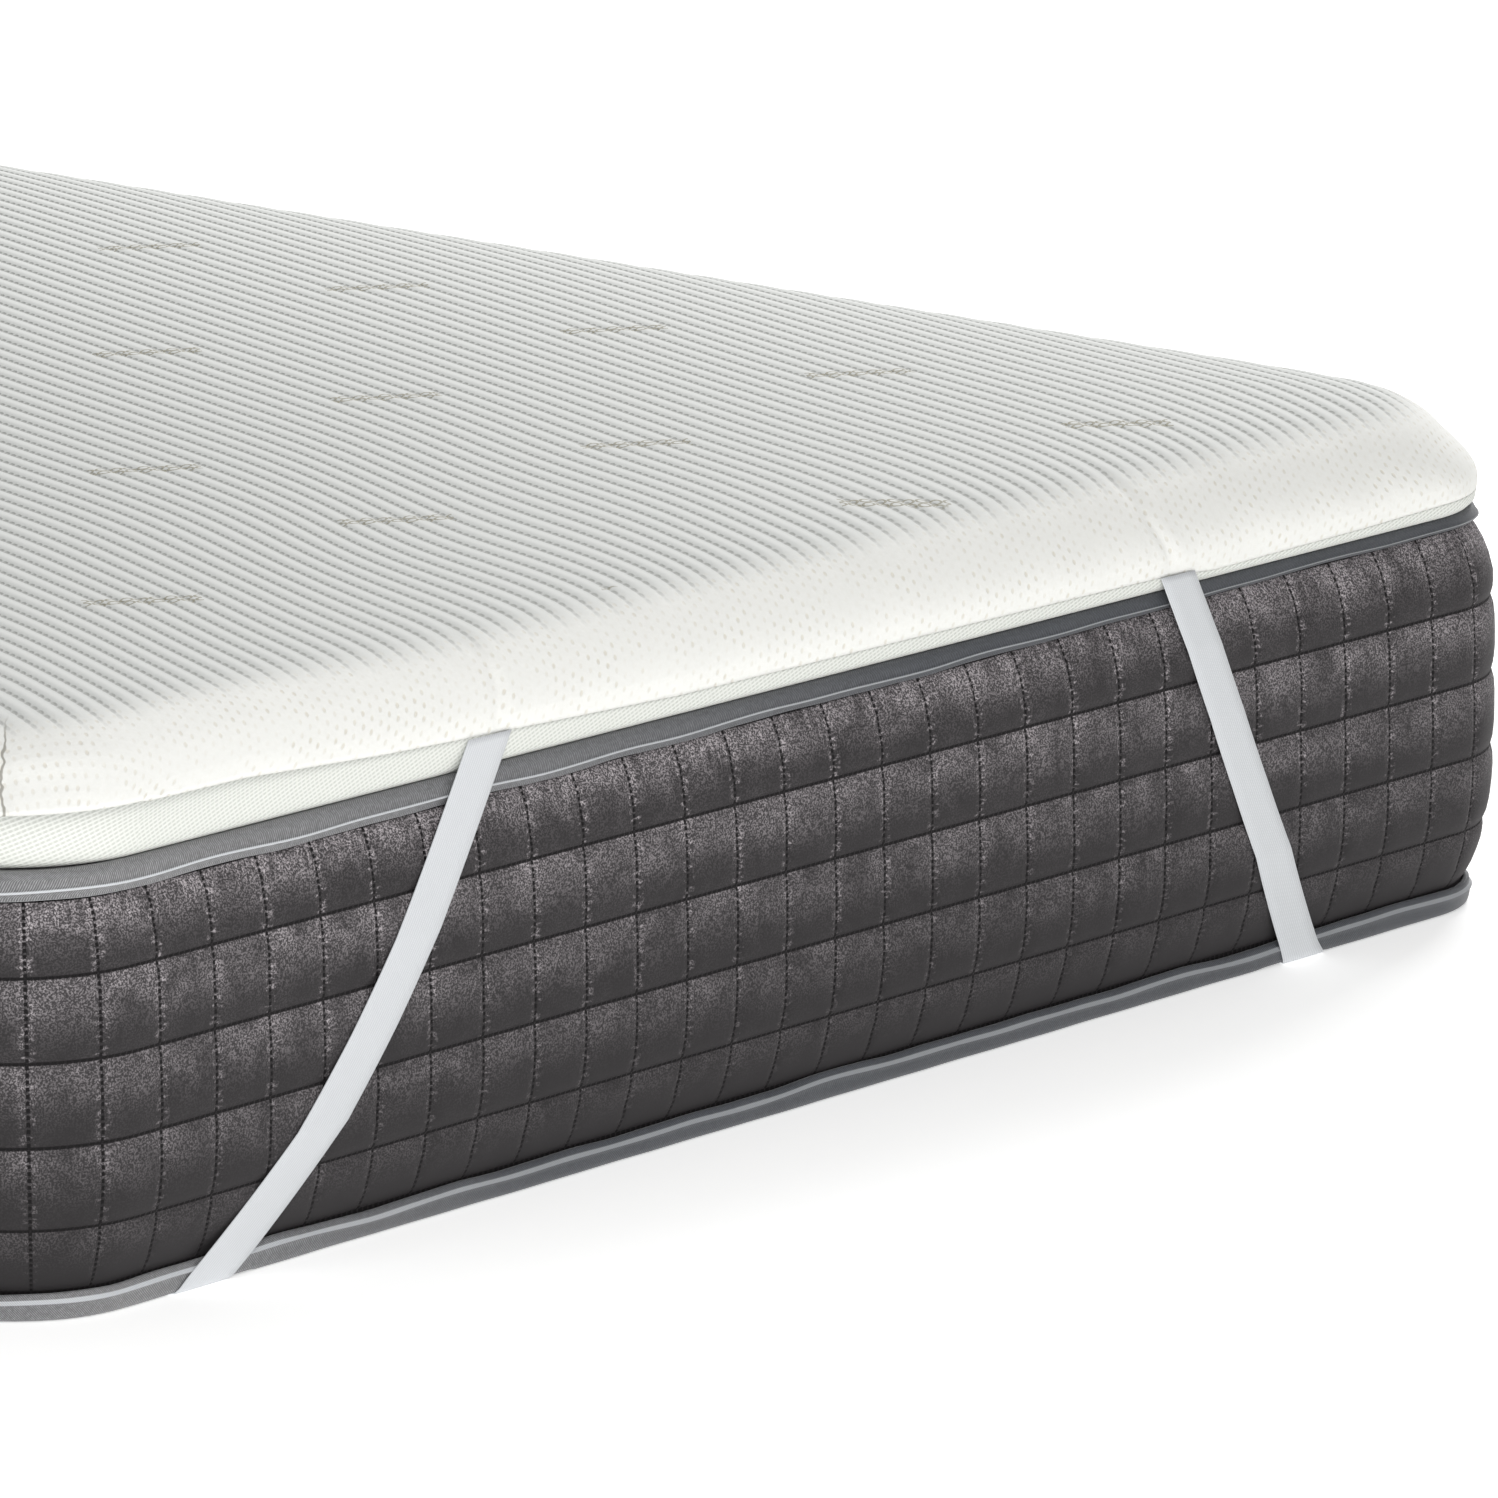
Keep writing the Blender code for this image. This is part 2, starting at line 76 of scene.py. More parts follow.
def split_run(run):
    """The side a run is on, its share of the straight and its share of the corner after it."""
    run = np.asarray(run, float) % PERIMETER
    side = np.searchsorted(SIDE_STARTS, run, side="right") - 1
    left = run - SIDE_STARTS[side]
    straight = np.array(SIDE_RUNS)[side]
    return side, np.clip(left / straight, 0, 1), np.clip((left - straight) / CORNER_RUN, 0, 1)


def outline(run, inset, z, rounder=0.0):
    """Points at a run, drawn in from the widest line by inset, with corners rounder by that much."""
    side, share, turn = split_run(run)
    signs = np.array([(-1, -1), (1, -1), (1, 1), (-1, 1)], float)
    anchor = signs[side] * (1 - share)[..., None] + signs[(side + 1) % 4] * share[..., None]
    angle = np.pi / 2 * (side - 1 + turn)
    radius = CORNER_RADIUS + np.asarray(rounder) + 0 * angle
    x = anchor[..., 0] * (WIDTH / 2 - radius) + np.cos(angle) * (radius - inset)
    y = anchor[..., 1] * (LENGTH / 2 - radius) + np.sin(angle) * (radius - inset)
    return np.stack([x, y, z + 0 * x], -1)


def run_apart(run, place):
    """How far a run lies past a place on the outline, the shorter way round."""
    return (run - place + PERIMETER / 2) % PERIMETER - PERIMETER / 2


def run_on(side, distance):
    """The run at a distance from the corner where a side starts: 0 front, 1 right, 2 back, 3 left."""
    return SIDE_STARTS[side] + distance - CORNER_RADIUS


# %% [markdown]
# Cloth shapes repeat the same few steps: rings of points round the bed, faces between them, and maps
# of the flat cloth for the weave. A map gives each point its place on the cloth before it was sewn.

# %% Meshes from rings of points
def ring_faces(rings, columns, first=0):
    """Faces between rings of points that go round the bed, facing outwards when they go up."""
    r, c = np.meshgrid(np.arange(rings - 1), np.arange(columns), indexing="ij")
    after = (c + 1) % columns
    low, high = first + r * columns, first + (r + 1) * columns
    return np.stack([low + c, low + after, high + after, high + c], -1).reshape(-1, 4)


def ring_map(u, v):
    """Face corners of a flat map with one more column than the rings, so that its end joins up."""
    corners = [(slice(None, -1), slice(None, -1)), (slice(None, -1), slice(1, None)),
               (slice(1, None), slice(1, None)), (slice(1, None), slice(None, -1))]
    return np.stack([np.stack([u[c], v[c]], -1) for c in corners], 2).reshape(-1, 2)


def make_mesh(name, points, faces, maps=None, values=None):
    """A piece from points and faces; maps hold a place on the cloth for each face corner, values a
    number for each point."""
    mesh = bpy.data.meshes.new(name)
    mesh.from_pydata(np.asarray(points).tolist(), [], [list(map(int, face)) for face in faces])
    for title, corners in (maps or {}).items():
        layer = mesh.uv_layers.new(name=title)
        layer.data.foreach_set("uv", np.asarray(corners, np.float32).ravel())
    for title, numbers in (values or {}).items():
        attribute = mesh.attributes.new(title, "FLOAT", "POINT")
        attribute.data.foreach_set("value", np.asarray(numbers, np.float32))
    mesh.shade_smooth()
    mesh.update()
    piece = bpy.data.objects.new(name, mesh)
    bpy.context.collection.objects.link(piece)
    print(name, "has", len(mesh.vertices), "points and", len(mesh.polygons), "faces")
    return piece


# %% [markdown]
# The camera looks down the bed's front end from its left, from far away with a long lens, as in the
# photograph. Its place, direction and lens were worked out for the square 1498 by 1498 frame.

# %% Camera
AZIMUTH, ELEVATION, ROLL = math.radians(-48.56), math.radians(13.02), math.radians(-0.37)
CAMERA_PLACE = (-4.8927, -5.1958, 1.7123)
FOCAL_LENGTH = 275.84
back = Vector((math.sin(AZIMUTH) * math.cos(ELEVATION),
               -math.cos(AZIMUTH) * math.cos(ELEVATION), math.sin(ELEVATION)))
level = Vector((math.cos(AZIMUTH), math.sin(AZIMUTH), 0.0))
upright = back.cross(level)
right = math.cos(ROLL) * level + math.sin(ROLL) * upright
up = math.cos(ROLL) * upright - math.sin(ROLL) * level
lens = bpy.data.cameras.new("camera")
lens.lens = FOCAL_LENGTH
lens.sensor_width = 36.0
camera = bpy.data.objects.new("camera", lens)
camera.matrix_world = Matrix.Translation(CAMERA_PLACE) @ Matrix((right, up, back)).transposed().to_4x4()
bpy.context.collection.objects.link(camera)
bpy.context.scene.camera = camera
print("camera at", [round(c, 3) for c in camera.matrix_world.translation])

# %% [markdown]
# The studio is a pale floor, a white surround and two large soft lights. The front one stands low,
# so the upright front of the topper is brighter than its top, as in the photograph.

# %% Floor, surround and lights
FLOOR_HALF = 20.0
SURROUND = 0.36
FRONT_LIGHT = {"place": (-2.0, -2.9, 1.45), "aim": (-0.2, -0.9, 0.2), "size": (1.6, 1.1), "watts": 44.0}
TOP_LIGHT = {"place": (3.4, 0.8, 2.4), "aim": (0.6, -0.1, 0.3), "size": (2.0, 1.5), "watts": 126.0}


def add_light(name, place, aim, size, watts):
    lamp = bpy.data.lights.new(name, "AREA")
    lamp.shape = "RECTANGLE"
    lamp.size, lamp.size_y = size
    lamp.energy = watts
    light = bpy.data.objects.new(name, lamp)
    light.location = place
    light.rotation_euler = (Vector(aim) - Vector(place)).to_track_quat("-Z", "Y").to_euler()
    bpy.context.collection.objects.link(light)
    print(name, "gives", watts, "W")


add_light("front_light", **FRONT_LIGHT)
add_light("top_light", **TOP_LIGHT)
world = bpy.data.worlds.new("surround")
world.use_nodes = True
world.node_tree.nodes["Background"].inputs["Color"].default_value = (1.0, 1.0, 1.0, 1.0)
world.node_tree.nodes["Background"].inputs["Strength"].default_value = SURROUND
bpy.context.scene.world = world
bpy.context.scene.view_settings.view_transform = "Standard"

bpy.ops.mesh.primitive_plane_add(size=2 * FLOOR_HALF, location=(0.0, 0.0, 0.0))
floor = bpy.context.active_object
floor.name = "floor"
floor.select_set(False)


# %% [markdown]
# Colours are written as they look on a screen and turned to the linear light that a shader needs.
# One small function adds a node, sets it and links it, and every material is built with it. Stripes
# come back in most weaves, so they have a function too: it folds a value to and fro, so that it
# counts up from a line to halfway and down again, and that distance is cut into soft stripes.

# %% Helpers for materials
def linear(colour):
    parts = [int(colour[i:i + 2], 16) / 255 for i in (1, 3, 5)]
    return (*[p / 12.92 if p <= 0.04045 else ((p + 0.055) / 1.055) ** 2.4 for p in parts], 1.0)


def add_node(tree, kind, inputs, output=0, **settings):
    """Adds a node; an input that is a socket is linked, and any other is set."""
    node = tree.nodes.new("ShaderNode" + kind)
    for name, value in settings.items():
        setattr(node, name, value)
    for key, value in inputs.items():
        if isinstance(value, bpy.types.NodeSocket):
            tree.links.new(value, node.inputs[key])
        else:
            node.inputs[key].default_value = value
    return node.outputs[output]


def new_material(name, constants):
    """A material with its shader's sockets set, the shader, and its own way to add a node."""
    material = bpy.data.materials.new(name)
    material.use_nodes = True
    shader = material.node_tree.nodes["Principled BSDF"]
    for socket, value in constants.items():
        shader.inputs[socket].default_value = value
    return material, shader, partial(add_node, material.node_tree)


def stripes(add, value, repeats, levels, **settings):
    """Soft stripes along a value; levels says how each fades with the distance from its line."""
    value = add("Math", {0: value, 1: repeats}, operation="MULTIPLY")
    value = add("Math", {0: value, 1: 0.5}, operation="PINGPONG")
    return add("MapRange", {0: value, **levels}, **settings)


def finish(shader, colour, relief, strength, depth, sunk=False):
    """Gives the shader its colour, and a relief that is depth metres high, or deep if sunk."""
    tree = shader.id_data
    bump = add_node(tree, "Bump", {"Strength": strength, "Distance": depth, "Height": relief}, invert=sunk)
    for output, socket in ((colour, "Base Color"), (bump, "Normal")):
        tree.links.new(output, shader.inputs[socket])


def dress(piece, material, body="root"):
    piece.data.materials.clear()
    piece.data.materials.append(material)
    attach(piece, body)
    print(piece.name, "wears", material.name)


# %% [markdown]
# The floor is matt white studio card. It glows a little, as a lit white backdrop does.

# %% Floor material
FLOOR_GLOW = 0.47
card, shader, add = new_material("white studio card", {
    "Roughness": 0.9, "Emission Color": (1.0, 1.0, 1.0, 1.0), "Emission Strength": FLOOR_GLOW})
grain = add("TexNoise", {"Scale": 3.0, "Detail": 2.0})
tint = add("Mix", {0: grain, 6: linear("#F6F6F5"), 7: linear("#FBFBFA")}, 2, data_type="RGBA")
card.node_tree.links.new(tint, shader.inputs["Base Color"])
floor.data.materials.append(card)

# %% [markdown]
# The mattress. Its border is charcoal velvet quilted to wadding in upright cells about 43 mm wide.
# Each cell is a small pillow: proud in the middle and drawn in where the thread runs. The level
# seams pull deeper and wider than the upright ones, so each power below says how narrow a valley is.
# The pillows are made on a grid round the bed with points close together beside each seam. Towards
# the right the topper has pulled the top edge inwards, and the top row of pillows bulges over it.

# %% How the border bulges
SEAM_LEVELS = np.array([0.0168, 0.0545, 0.1020, 0.1495, 0.1970, 0.2380])
BORDER_MIDDLE = 0.145
TOP_INSET = 0.0110
BOTTOM_INSET = 0.0194


def border_inset(z):
    """How far the border's pillow tops lie inside the widest line."""
    z = np.asarray(z, float)
    upper = TOP_INSET * (np.maximum(z - BORDER_MIDDLE, 0) / (SEAM_LEVELS[-1] - BORDER_MIDDLE)) ** 4
    lower = BOTTOM_INSET * (np.maximum(BORDER_MIDDLE - z, 0) / (BORDER_MIDDLE - SEAM_LEVELS[0])) ** 4
    return upper + lower


# %% Where the topper pulls the top edge in
TAPE_HEIGHT = 0.0162
TOP_ROW_BULGE = 0.0050
DRAW_IN = 0.0120
STRAIGHT_SHARE = 0.87
TAPE_SHARES = [(1.0, 0.92, 0.80, 0.56, 0.50), (0.50, 0.55, 0.60, 0.65, 0.70),
               (0.70, 0.75, 0.80, 0.80, 0.80), (0.80, 0.80, 0.85, 0.95, 1.0)]


def tape_share(run):
    """Share of the top tape's full height that shows: it was sewn on deeper towards the right."""
    side, share, turn = split_run(run)
    along = share * STRAIGHT_SHARE + turn * (1 - STRAIGHT_SHARE)
    places = np.linspace(0, 1, len(TAPE_SHARES[0]))
    return np.choose(side, [np.interp(along, places, table) for table in TAPE_SHARES])


def drawn_in(run, z):
    """How far the top edge lies further in where the topper has pulled the tape under itself."""
    return DRAW_IN * (1 - tape_share(run)) * smooth((z - SEAM_LEVELS[4]) / (MATTRESS_TOP - SEAM_LEVELS[4]))


# %% Quilted pillows
QUILT_COLUMNS = 147
QUILT_PHASE = 0.0179
CELL_STEPS = np.array([0.0, 0.05, 0.14, 0.30, 0.50, 0.70, 0.86, 0.95])
SEAM_DEPTH = 0.0030
EDGE_SEAM_DEPTH = 0.0012
UPRIGHT_SHARE = 0.60
LEVEL_POWER = 4.5
UPRIGHT_POWER = 7.0
LEAST_FULL = 0.75
SLACK_SHARE = 0.35
PUCKER = 0.00035
rng = np.random.default_rng(7)


def quilt_grid():
    """Runs, heights and insets of the border, with its map in cells across and up."""
    across = (np.arange(QUILT_COLUMNS)[:, None] + CELL_STEPS).ravel()
    upward = np.append((np.arange(5)[:, None] + CELL_STEPS).ravel(), 5.0)
    run = QUILT_PHASE + across * PERIMETER / QUILT_COLUMNS
    z = np.interp(upward, np.arange(6), SEAM_LEVELS)
    a, b = across % 1.0, upward % 1.0
    depth = np.where((upward < 0.5) | (upward > 4.5), EDGE_SEAM_DEPTH, SEAM_DEPTH)
    level_pull = np.abs(2 * b - 1) ** LEVEL_POWER
    upright_pull = np.abs(2 * a - 1) ** UPRIGHT_POWER
    pull = 1 - (1 - level_pull[:, None]) * (1 - UPRIGHT_SHARE * upright_pull[None, :])
    cells = rng.uniform(LEAST_FULL, 1.0, (6, QUILT_COLUMNS + 1))
    slack = SLACK_SHARE * (1 - cells[upward.astype(int)][:, across.astype(int)])
    inset = border_inset(z)[:, None] + depth[:, None] * (pull + slack * (1 - pull))
    pucker = rng.normal(0, 1, inset.shape) * upright_pull[None, :] * (1 - level_pull[:, None])
    inset += PUCKER * np.abs(pucker)
    narrow = 1 - tape_share(run)
    bulge = np.where(upward > 4, 4 * b * (1 - b), 0.0)
    inset -= TOP_ROW_BULGE * bulge[:, None] * narrow[None, :]
    reach = TAPE_HEIGHT * narrow
    z = z[:, None] + np.clip(upward - 4, 0, 1)[:, None] * reach[None, :]
    inset += drawn_in(run[None, :], z)
    return run, z, inset, across, upward


# %% Make the mattress
REBATE_WIDTH = 0.0070
REBATE_DEPTH = 0.0034
PANEL_LIFT = 0.0024


def make_mattress():
    run, z, inset, across, upward = quilt_grid()
    columns = len(run)
    border = outline(run[None, :] + 0 * inset, inset, z)
    low = [(BOTTOM_INSET + REBATE_WIDTH, PANEL_LIFT), (BOTTOM_INSET + REBATE_WIDTH, REBATE_DEPTH),
           (BOTTOM_INSET, REBATE_DEPTH)]
    high = [(TOP_INSET, MATTRESS_TOP - REBATE_DEPTH),
            (TOP_INSET + REBATE_WIDTH, MATTRESS_TOP - REBATE_DEPTH),
            (TOP_INSET + REBATE_WIDTH, MATTRESS_TOP)]
    rings = [outline(run, d, h) for d, h in low] + list(border)
    rings += [outline(run, d + drawn_in(run, h), h) for d, h in high]
    points = np.concatenate(rings)
    faces = ring_faces(len(rings), columns).tolist()
    v = np.concatenate([[-0.3, -0.2, -0.1], upward, [5.1, 5.2, 5.3]])
    u = np.append(across, QUILT_COLUMNS)
    quilt = ring_map(*np.broadcast_arrays(u[None, :], v[:, None]))
    last = len(points) - columns
    points = np.concatenate([points, [(0, 0, PANEL_LIFT), (0, 0, MATTRESS_TOP)]])
    for c in range(columns):
        after = (c + 1) % columns
        faces.append((after, c, len(points) - 2))
        faces.append((last + c, last + after, len(points) - 1))
    flat = np.tile([0.5, -0.3], (6 * columns, 1))
    return make_mesh("quilted_mattress", points, faces, {"quilt": np.concatenate([quilt, flat])})


mattress = make_mattress()
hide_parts("mattress_body")

# %% [markdown]
# Charcoal polyester velvet: short upright pile. It is nearly black where the pile is seen end on and grey
# where it leans, so it looks speckled. Each pillow is painted paler at its top, as painted light from
# above, and the rows are painted darker towards the floor, as painted shade. Small gathers run down from
# the tape. The quilting thread is darker than the pile, and its stitches are about 4 mm long, as real
# ones are; along each level seam the groove is painted dark, as painted shade. The pile's speckle is
# drawn 1.1 mm coarse, because the true 0.3 mm would not show.

# %% Velvet
PILE_SPECKLE = 0.0011
STITCHES_ACROSS = 10.0
STITCHES_UP = 12.0
velvet, shader, add = new_material("charcoal polyester velvet", {
    "Roughness": 0.75, "Sheen Weight": 0.12, "Sheen Roughness": 0.45, "Specular IOR Level": 0.25,
    "Sheen Tint": linear("#B9B2B4")})
place = add("TexCoord", {}, 3)
cloth = add("UVMap", {}, uv_map="quilt")
u, v = [add("SeparateXYZ", {0: cloth}, axis) for axis in (0, 1)]
cell_u, cell_v = [add("Math", {0: part}, operation="FRACT") for part in (u, v)]
centred = [add("Math", {0: part, 1: 0.5}, operation="SUBTRACT") for part in (cell_u, cell_v)]
off_u, off_v = [add("Math", {0: part}, operation="ABSOLUTE") for part in centred]

# %% The lean of the pile, in patches and ruffled beside each upright seam, with painted light on each cell's top
patches = add("TexNoise", {"Vector": place, "Scale": 45.0, "Detail": 4.0, "Distortion": 0.6})
patches = add("MapRange", {0: patches, 1: 0.32, 2: 0.68})
# Painted light: each cell is painted paler towards its top, where light from above falls on the pillow
painted_cell_top_light = add("MapRange", {0: cell_v, 1: 0.15, 2: 0.95, 3: 0.10, 4: 1.0}, interpolation_type="SMOOTHSTEP")
lean = add("Math", {0: patches, 1: 0.7, 2: 0.3}, operation="MULTIPLY_ADD")
lean = add("Math", {0: painted_cell_top_light, 1: lean}, operation="MULTIPLY")
ripple = add("VectorMath", {0: place, 1: (1.0, 1.0, 2.6)}, operation="MULTIPLY")
ripple = add("TexNoise", {"Vector": ripple, "Scale": 150.0, "Detail": 1.0})
ripple = add("MapRange", {0: ripple, 1: 0.50, 2: 0.62})
beside = add("MapRange", {0: off_u, 1: 0.36, 2: 0.45}, interpolation_type="SMOOTHSTEP")
gathers = add("VectorMath", {0: cloth, 1: (13.0, 0.7, 1.0)}, operation="MULTIPLY")
gathers = add("TexNoise", {"Vector": gathers, "Scale": 1.0, "Detail": 1.0})
gathers = add("MapRange", {0: gathers, 1: 0.50, 2: 0.60})
under_tape = add("MapRange", {0: v, 1: 4.45, 2: 4.95}, interpolation_type="SMOOTHSTEP")
for where, marks, amount in ((beside, ripple, 0.75), (under_tape, gathers, 0.45)):
    marks = add("Math", {0: where, 1: marks}, operation="MULTIPLY")
    lean = add("Math", {0: marks, 1: amount, 2: lean}, operation="MULTIPLY_ADD")

# %% The pile's colour, with painted shade making it darker towards the floor
speckle = add("TexNoise", {"Vector": place, "Scale": 1 / PILE_SPECKLE, "Detail": 1.0, "Roughness": 0.6})
contrast = add("MapRange", {0: speckle, 1: 0.44, 2: 0.62})
light = add("Math", {0: contrast, 1: 0.95, 2: 0.12}, operation="MULTIPLY_ADD")
# Painted shade: the rows are painted darker towards the floor, where less light falls
rows = add("MapRange", {0: v, 1: 0.0, 2: 5.0, 3: 0.0, 4: 0.94})
for share in (lean, rows):
    light = add("Math", {0: light, 1: share}, operation="MULTIPLY")
colour = add("Mix", {0: light, 6: linear("#2B292A"), 7: linear("#BCB5B8")}, 2, data_type="RGBA")

# %% The quilting thread, with painted shade in the groove of each level seam
seam_u = add("MapRange", {0: off_u, 1: 0.466, 2: 0.485}, interpolation_type="SMOOTHSTEP")
seam_v = add("MapRange", {0: off_v, 1: 0.474, 2: 0.49}, interpolation_type="SMOOTHSTEP")
dashes_u = stripes(add, u, STITCHES_ACROSS, {1: 0.10, 2: 0.22, 3: 0.45, 4: 1.0})
dashes_v = stripes(add, v, STITCHES_UP, {1: 0.14, 2: 0.26, 3: 0.35, 4: 1.0})
level = add("Math", {0: seam_v, 1: dashes_u}, operation="MULTIPLY")
upright_seam = add("Math", {0: seam_u, 1: dashes_v}, operation="MULTIPLY")
stitch = add("Math", {0: upright_seam, 1: level}, operation="MAXIMUM")
# Painted shade: a dark line is painted along the groove of each level seam; the darker dashes over it are
# the thread
level_seam_painted_shade = add("MapRange", {0: off_v, 1: 0.468, 2: 0.492}, interpolation_type="SMOOTHSTEP")
for mask, dark in ((level_seam_painted_shade, "#1C191B"), (stitch, "#0E0C0D")):
    colour = add("Mix", {0: mask, 6: colour, 7: linear(dark)}, 2, data_type="RGBA")
relief = add("Math", {0: stitch, 1: -1.5, 2: light}, operation="MULTIPLY_ADD")
finish(shader, colour, relief, 0.6, 0.0008)
dress(mattress, velvet)

# %% [markdown]
# Two binding tapes close the mattress's edges. Each is a woven tape folded over the raw edge, with one
# raised line along it that carries a painted highlight. The line and the tape's lower edge waver a
# little, because the machine was guided by hand. Where the topper pulls it in, the top tape is folded
# under and less of it shows. The section is carried round the bed as rings, so it can change on the way.

# %% Section of a tape
TAPE_SECTION = np.array([
    (0.0176, 0.0000), (0.0125, 0.0001), (0.0101, 0.0006), (0.0086, 0.0018), (0.0076, 0.0042),
    (0.0070, 0.0078), (0.0066, 0.0098), (0.0057, 0.0104), (0.0057, 0.0112), (0.0067, 0.0118),
    (0.0074, 0.0136), (0.0076, 0.0156), (0.0084, 0.0162), (0.0106, 0.0158), (0.0106, 0.0030),
    (0.0176, 0.0030)])
BEAD_ROWS = slice(6, 10)
EDGE_ROWS = slice(10, 14)
BOTTOM_TAPE_SHIFT = 0.0084

# %% Slow waves, and the places where the straps turn under
LEFT_FOOT = 0.163
RIGHT_FOOT = 0.235
FOOT_HALF = 0.026
FOOT_BLEND = 0.008
GROOVE_DEPTH = 0.0020
FLOOR_GAP = 0.0003


def slow_wave(run, seed, lengths=(0.21, 0.34, 0.55, 0.9)):
    """A gentle wander round the bed that joins up with itself, about -1 to 1."""
    draw = np.random.default_rng(seed)
    total = 0.0
    for length in lengths:
        turns = round(PERIMETER / length)
        total = total + np.sin(2 * np.pi * turns * run / PERIMETER + draw.uniform(0, 6.28))
    return total / len(lengths)


def foot_runs():
    """The eight places where a strap turns under the bottom edge."""
    feet = []
    for side, reach in ((0, WIDTH), (1, LENGTH), (2, WIDTH), (3, LENGTH)):
        first, last = (LEFT_FOOT, RIGHT_FOOT) if side % 2 == 0 else (RIGHT_FOOT, LEFT_FOOT)
        feet += [run_on(side, first), run_on(side, reach - last)]
    return feet


# %% Make the tapes
TAPE_COLUMNS = 720
TUCKED = 0.0030
INNER_EDGE = 0.0170
BEAD_WAVER = 0.0018
EDGE_FOLLOWS = 0.8
EDGE_WAVER = 0.0004
FACE_WAVER = 0.0005
FACE_PROUD = 0.0004
# Share of the top tape pulled in at which the painted shade is full, on the top tape and on the bottom tape
FULL_TAPE_SHADE_AT = {False: 0.20, True: 0.08}


def make_tape(name, upside_down):
    run = np.arange(TAPE_COLUMNS) * PERIMETER / TAPE_COLUMNS
    inset = TAPE_SECTION[:, :1] + 0 * run
    drop = TAPE_SECTION[:, 1:] + 0 * run
    wander = BEAD_WAVER * slow_wave(run, 3 + upside_down, (0.11, 0.16, 0.27, 0.52))
    drop[BEAD_ROWS] += wander
    drop[EDGE_ROWS] += EDGE_FOLLOWS * wander + EDGE_WAVER * slow_wave(run, 5, (0.05, 0.08, 0.13))
    inset[1:12] -= FACE_WAVER * slow_wave(run, 9 + upside_down, (0.06, 0.11, 0.23)) + FACE_PROUD
    if upside_down:
        near = np.min([np.abs(run_apart(run, foot)) for foot in foot_runs()], axis=0)
        lifted = smooth((FOOT_HALF + FOOT_BLEND - near) / FOOT_BLEND)
        z = np.maximum(FLOOR_GAP + drop, FLOOR_GAP + (GROOVE_DEPTH - FLOOR_GAP) * lifted)
        points = outline(run[None, :] + 0 * z, inset + BOTTOM_TAPE_SHIFT, z)
    else:
        shown = (TAPE_HEIGHT * tape_share(run) - TUCKED) / (TAPE_HEIGHT - TUCKED)
        shortened = np.minimum(drop, TUCKED) + np.maximum(drop - TUCKED, 0) * shown
        drop = np.where(inset > INNER_EDGE, drop, shortened)
        inset = inset + drawn_in(run, MATTRESS_TOP)
        points = outline(run[None, :] + 0 * drop, inset, MATTRESS_TOP - drop)[::-1]
    rows = len(points)
    # The section is a closed loop, so its first ring comes again after the last
    faces = ring_faces(rows + 1, TAPE_COLUMNS) % (rows * TAPE_COLUMNS)
    closed = np.vstack([TAPE_SECTION, TAPE_SECTION[:1]])
    way = np.append(0, np.cumsum(np.linalg.norm(np.diff(closed, axis=0), axis=1)))
    if not upside_down:
        way = np.concatenate([[0.0], np.cumsum(np.diff(way)[::-1])])
        way = way[-1] - way
    u, v = np.broadcast_arrays(np.arange(TAPE_COLUMNS + 1) * PERIMETER / TAPE_COLUMNS, way[:, None])
    # Share of painted shade on the tape: full where the top tape is pulled in and folded under, and along
    # the same stretch of the bottom tape
    folded = np.clip((1 - tape_share(run)) / FULL_TAPE_SHADE_AT[upside_down], 0, 1)
    return make_mesh(name, points.reshape(-1, 3), faces, {"tape": ring_map(u, v)},
                     {"folded": np.tile(folded, rows)})


top_tape = make_tape("mattress_tape_top", False)
bottom_tape = make_tape("mattress_tape_bottom", True)
for tape, node in ((top_tape, "mattress_top_tape"), (bottom_tape, "mattress_bottom_tape")):
    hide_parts(node)

# %% [markdown]
# Grey polyester twill tape. Its fine slanting lines are the twill weave, drawn 1.6 mm apart. Where the
# top tape is folded under, and along the same stretch of the bottom tape, the tape is painted darker and
# bluer, as painted shade. A painted highlight lies along the raised line, varied by the twill lines and
# dimmed in that painted shade, and a pale selvedge runs along the tape's edge.

# %% Twill tape
TWILL_PITCH = 0.0016
BEAD_PLACE = 0.0207
EDGE_PLACE = 0.0268
twill, shader, add = new_material("grey polyester twill tape", {"Roughness": 0.55, "Sheen Weight": 0.2})
place = add("TexCoord", {}, 3)
cloth = add("UVMap", {}, uv_map="tape")
u, v = [add("SeparateXYZ", {0: cloth}, axis) for axis in (0, 1)]
slant = add("Math", {0: u, 1: v}, operation="ADD")
slant = add("Math", {0: slant, 1: 2 * math.pi / TWILL_PITCH}, operation="MULTIPLY")
lines = add("Math", {0: slant}, operation="SINE")
lines = add("MapRange", {0: lines, 1: -1.0, 2: 1.0})
fuzz = add("TexNoise", {"Vector": place, "Scale": 500.0, "Detail": 2.0})
shade = add("Math", {0: lines, 1: fuzz}, operation="MULTIPLY")
pale = add("Mix", {0: shade, 6: linear("#5A5A5B"), 7: linear("#C2C2C4")}, 2, data_type="RGBA")
dark = add("Mix", {0: shade, 6: linear("#2A2C31"), 7: linear("#666B73")}, 2, data_type="RGBA")
# Painted shade: where this share is high the tape is painted darker and bluer
folded = add("Attribute", {}, 2, attribute_name="folded")
weave = add("Mix", {0: folded, 6: pale, 7: dark}, 2, data_type="RGBA")
off = [add("Math", {0: v, 1: line}, operation="SUBTRACT") for line in (BEAD_PLACE, EDGE_PLACE)]
off_bead, off_edge = [add("Math", {0: part}, operation="ABSOLUTE") for part in off]
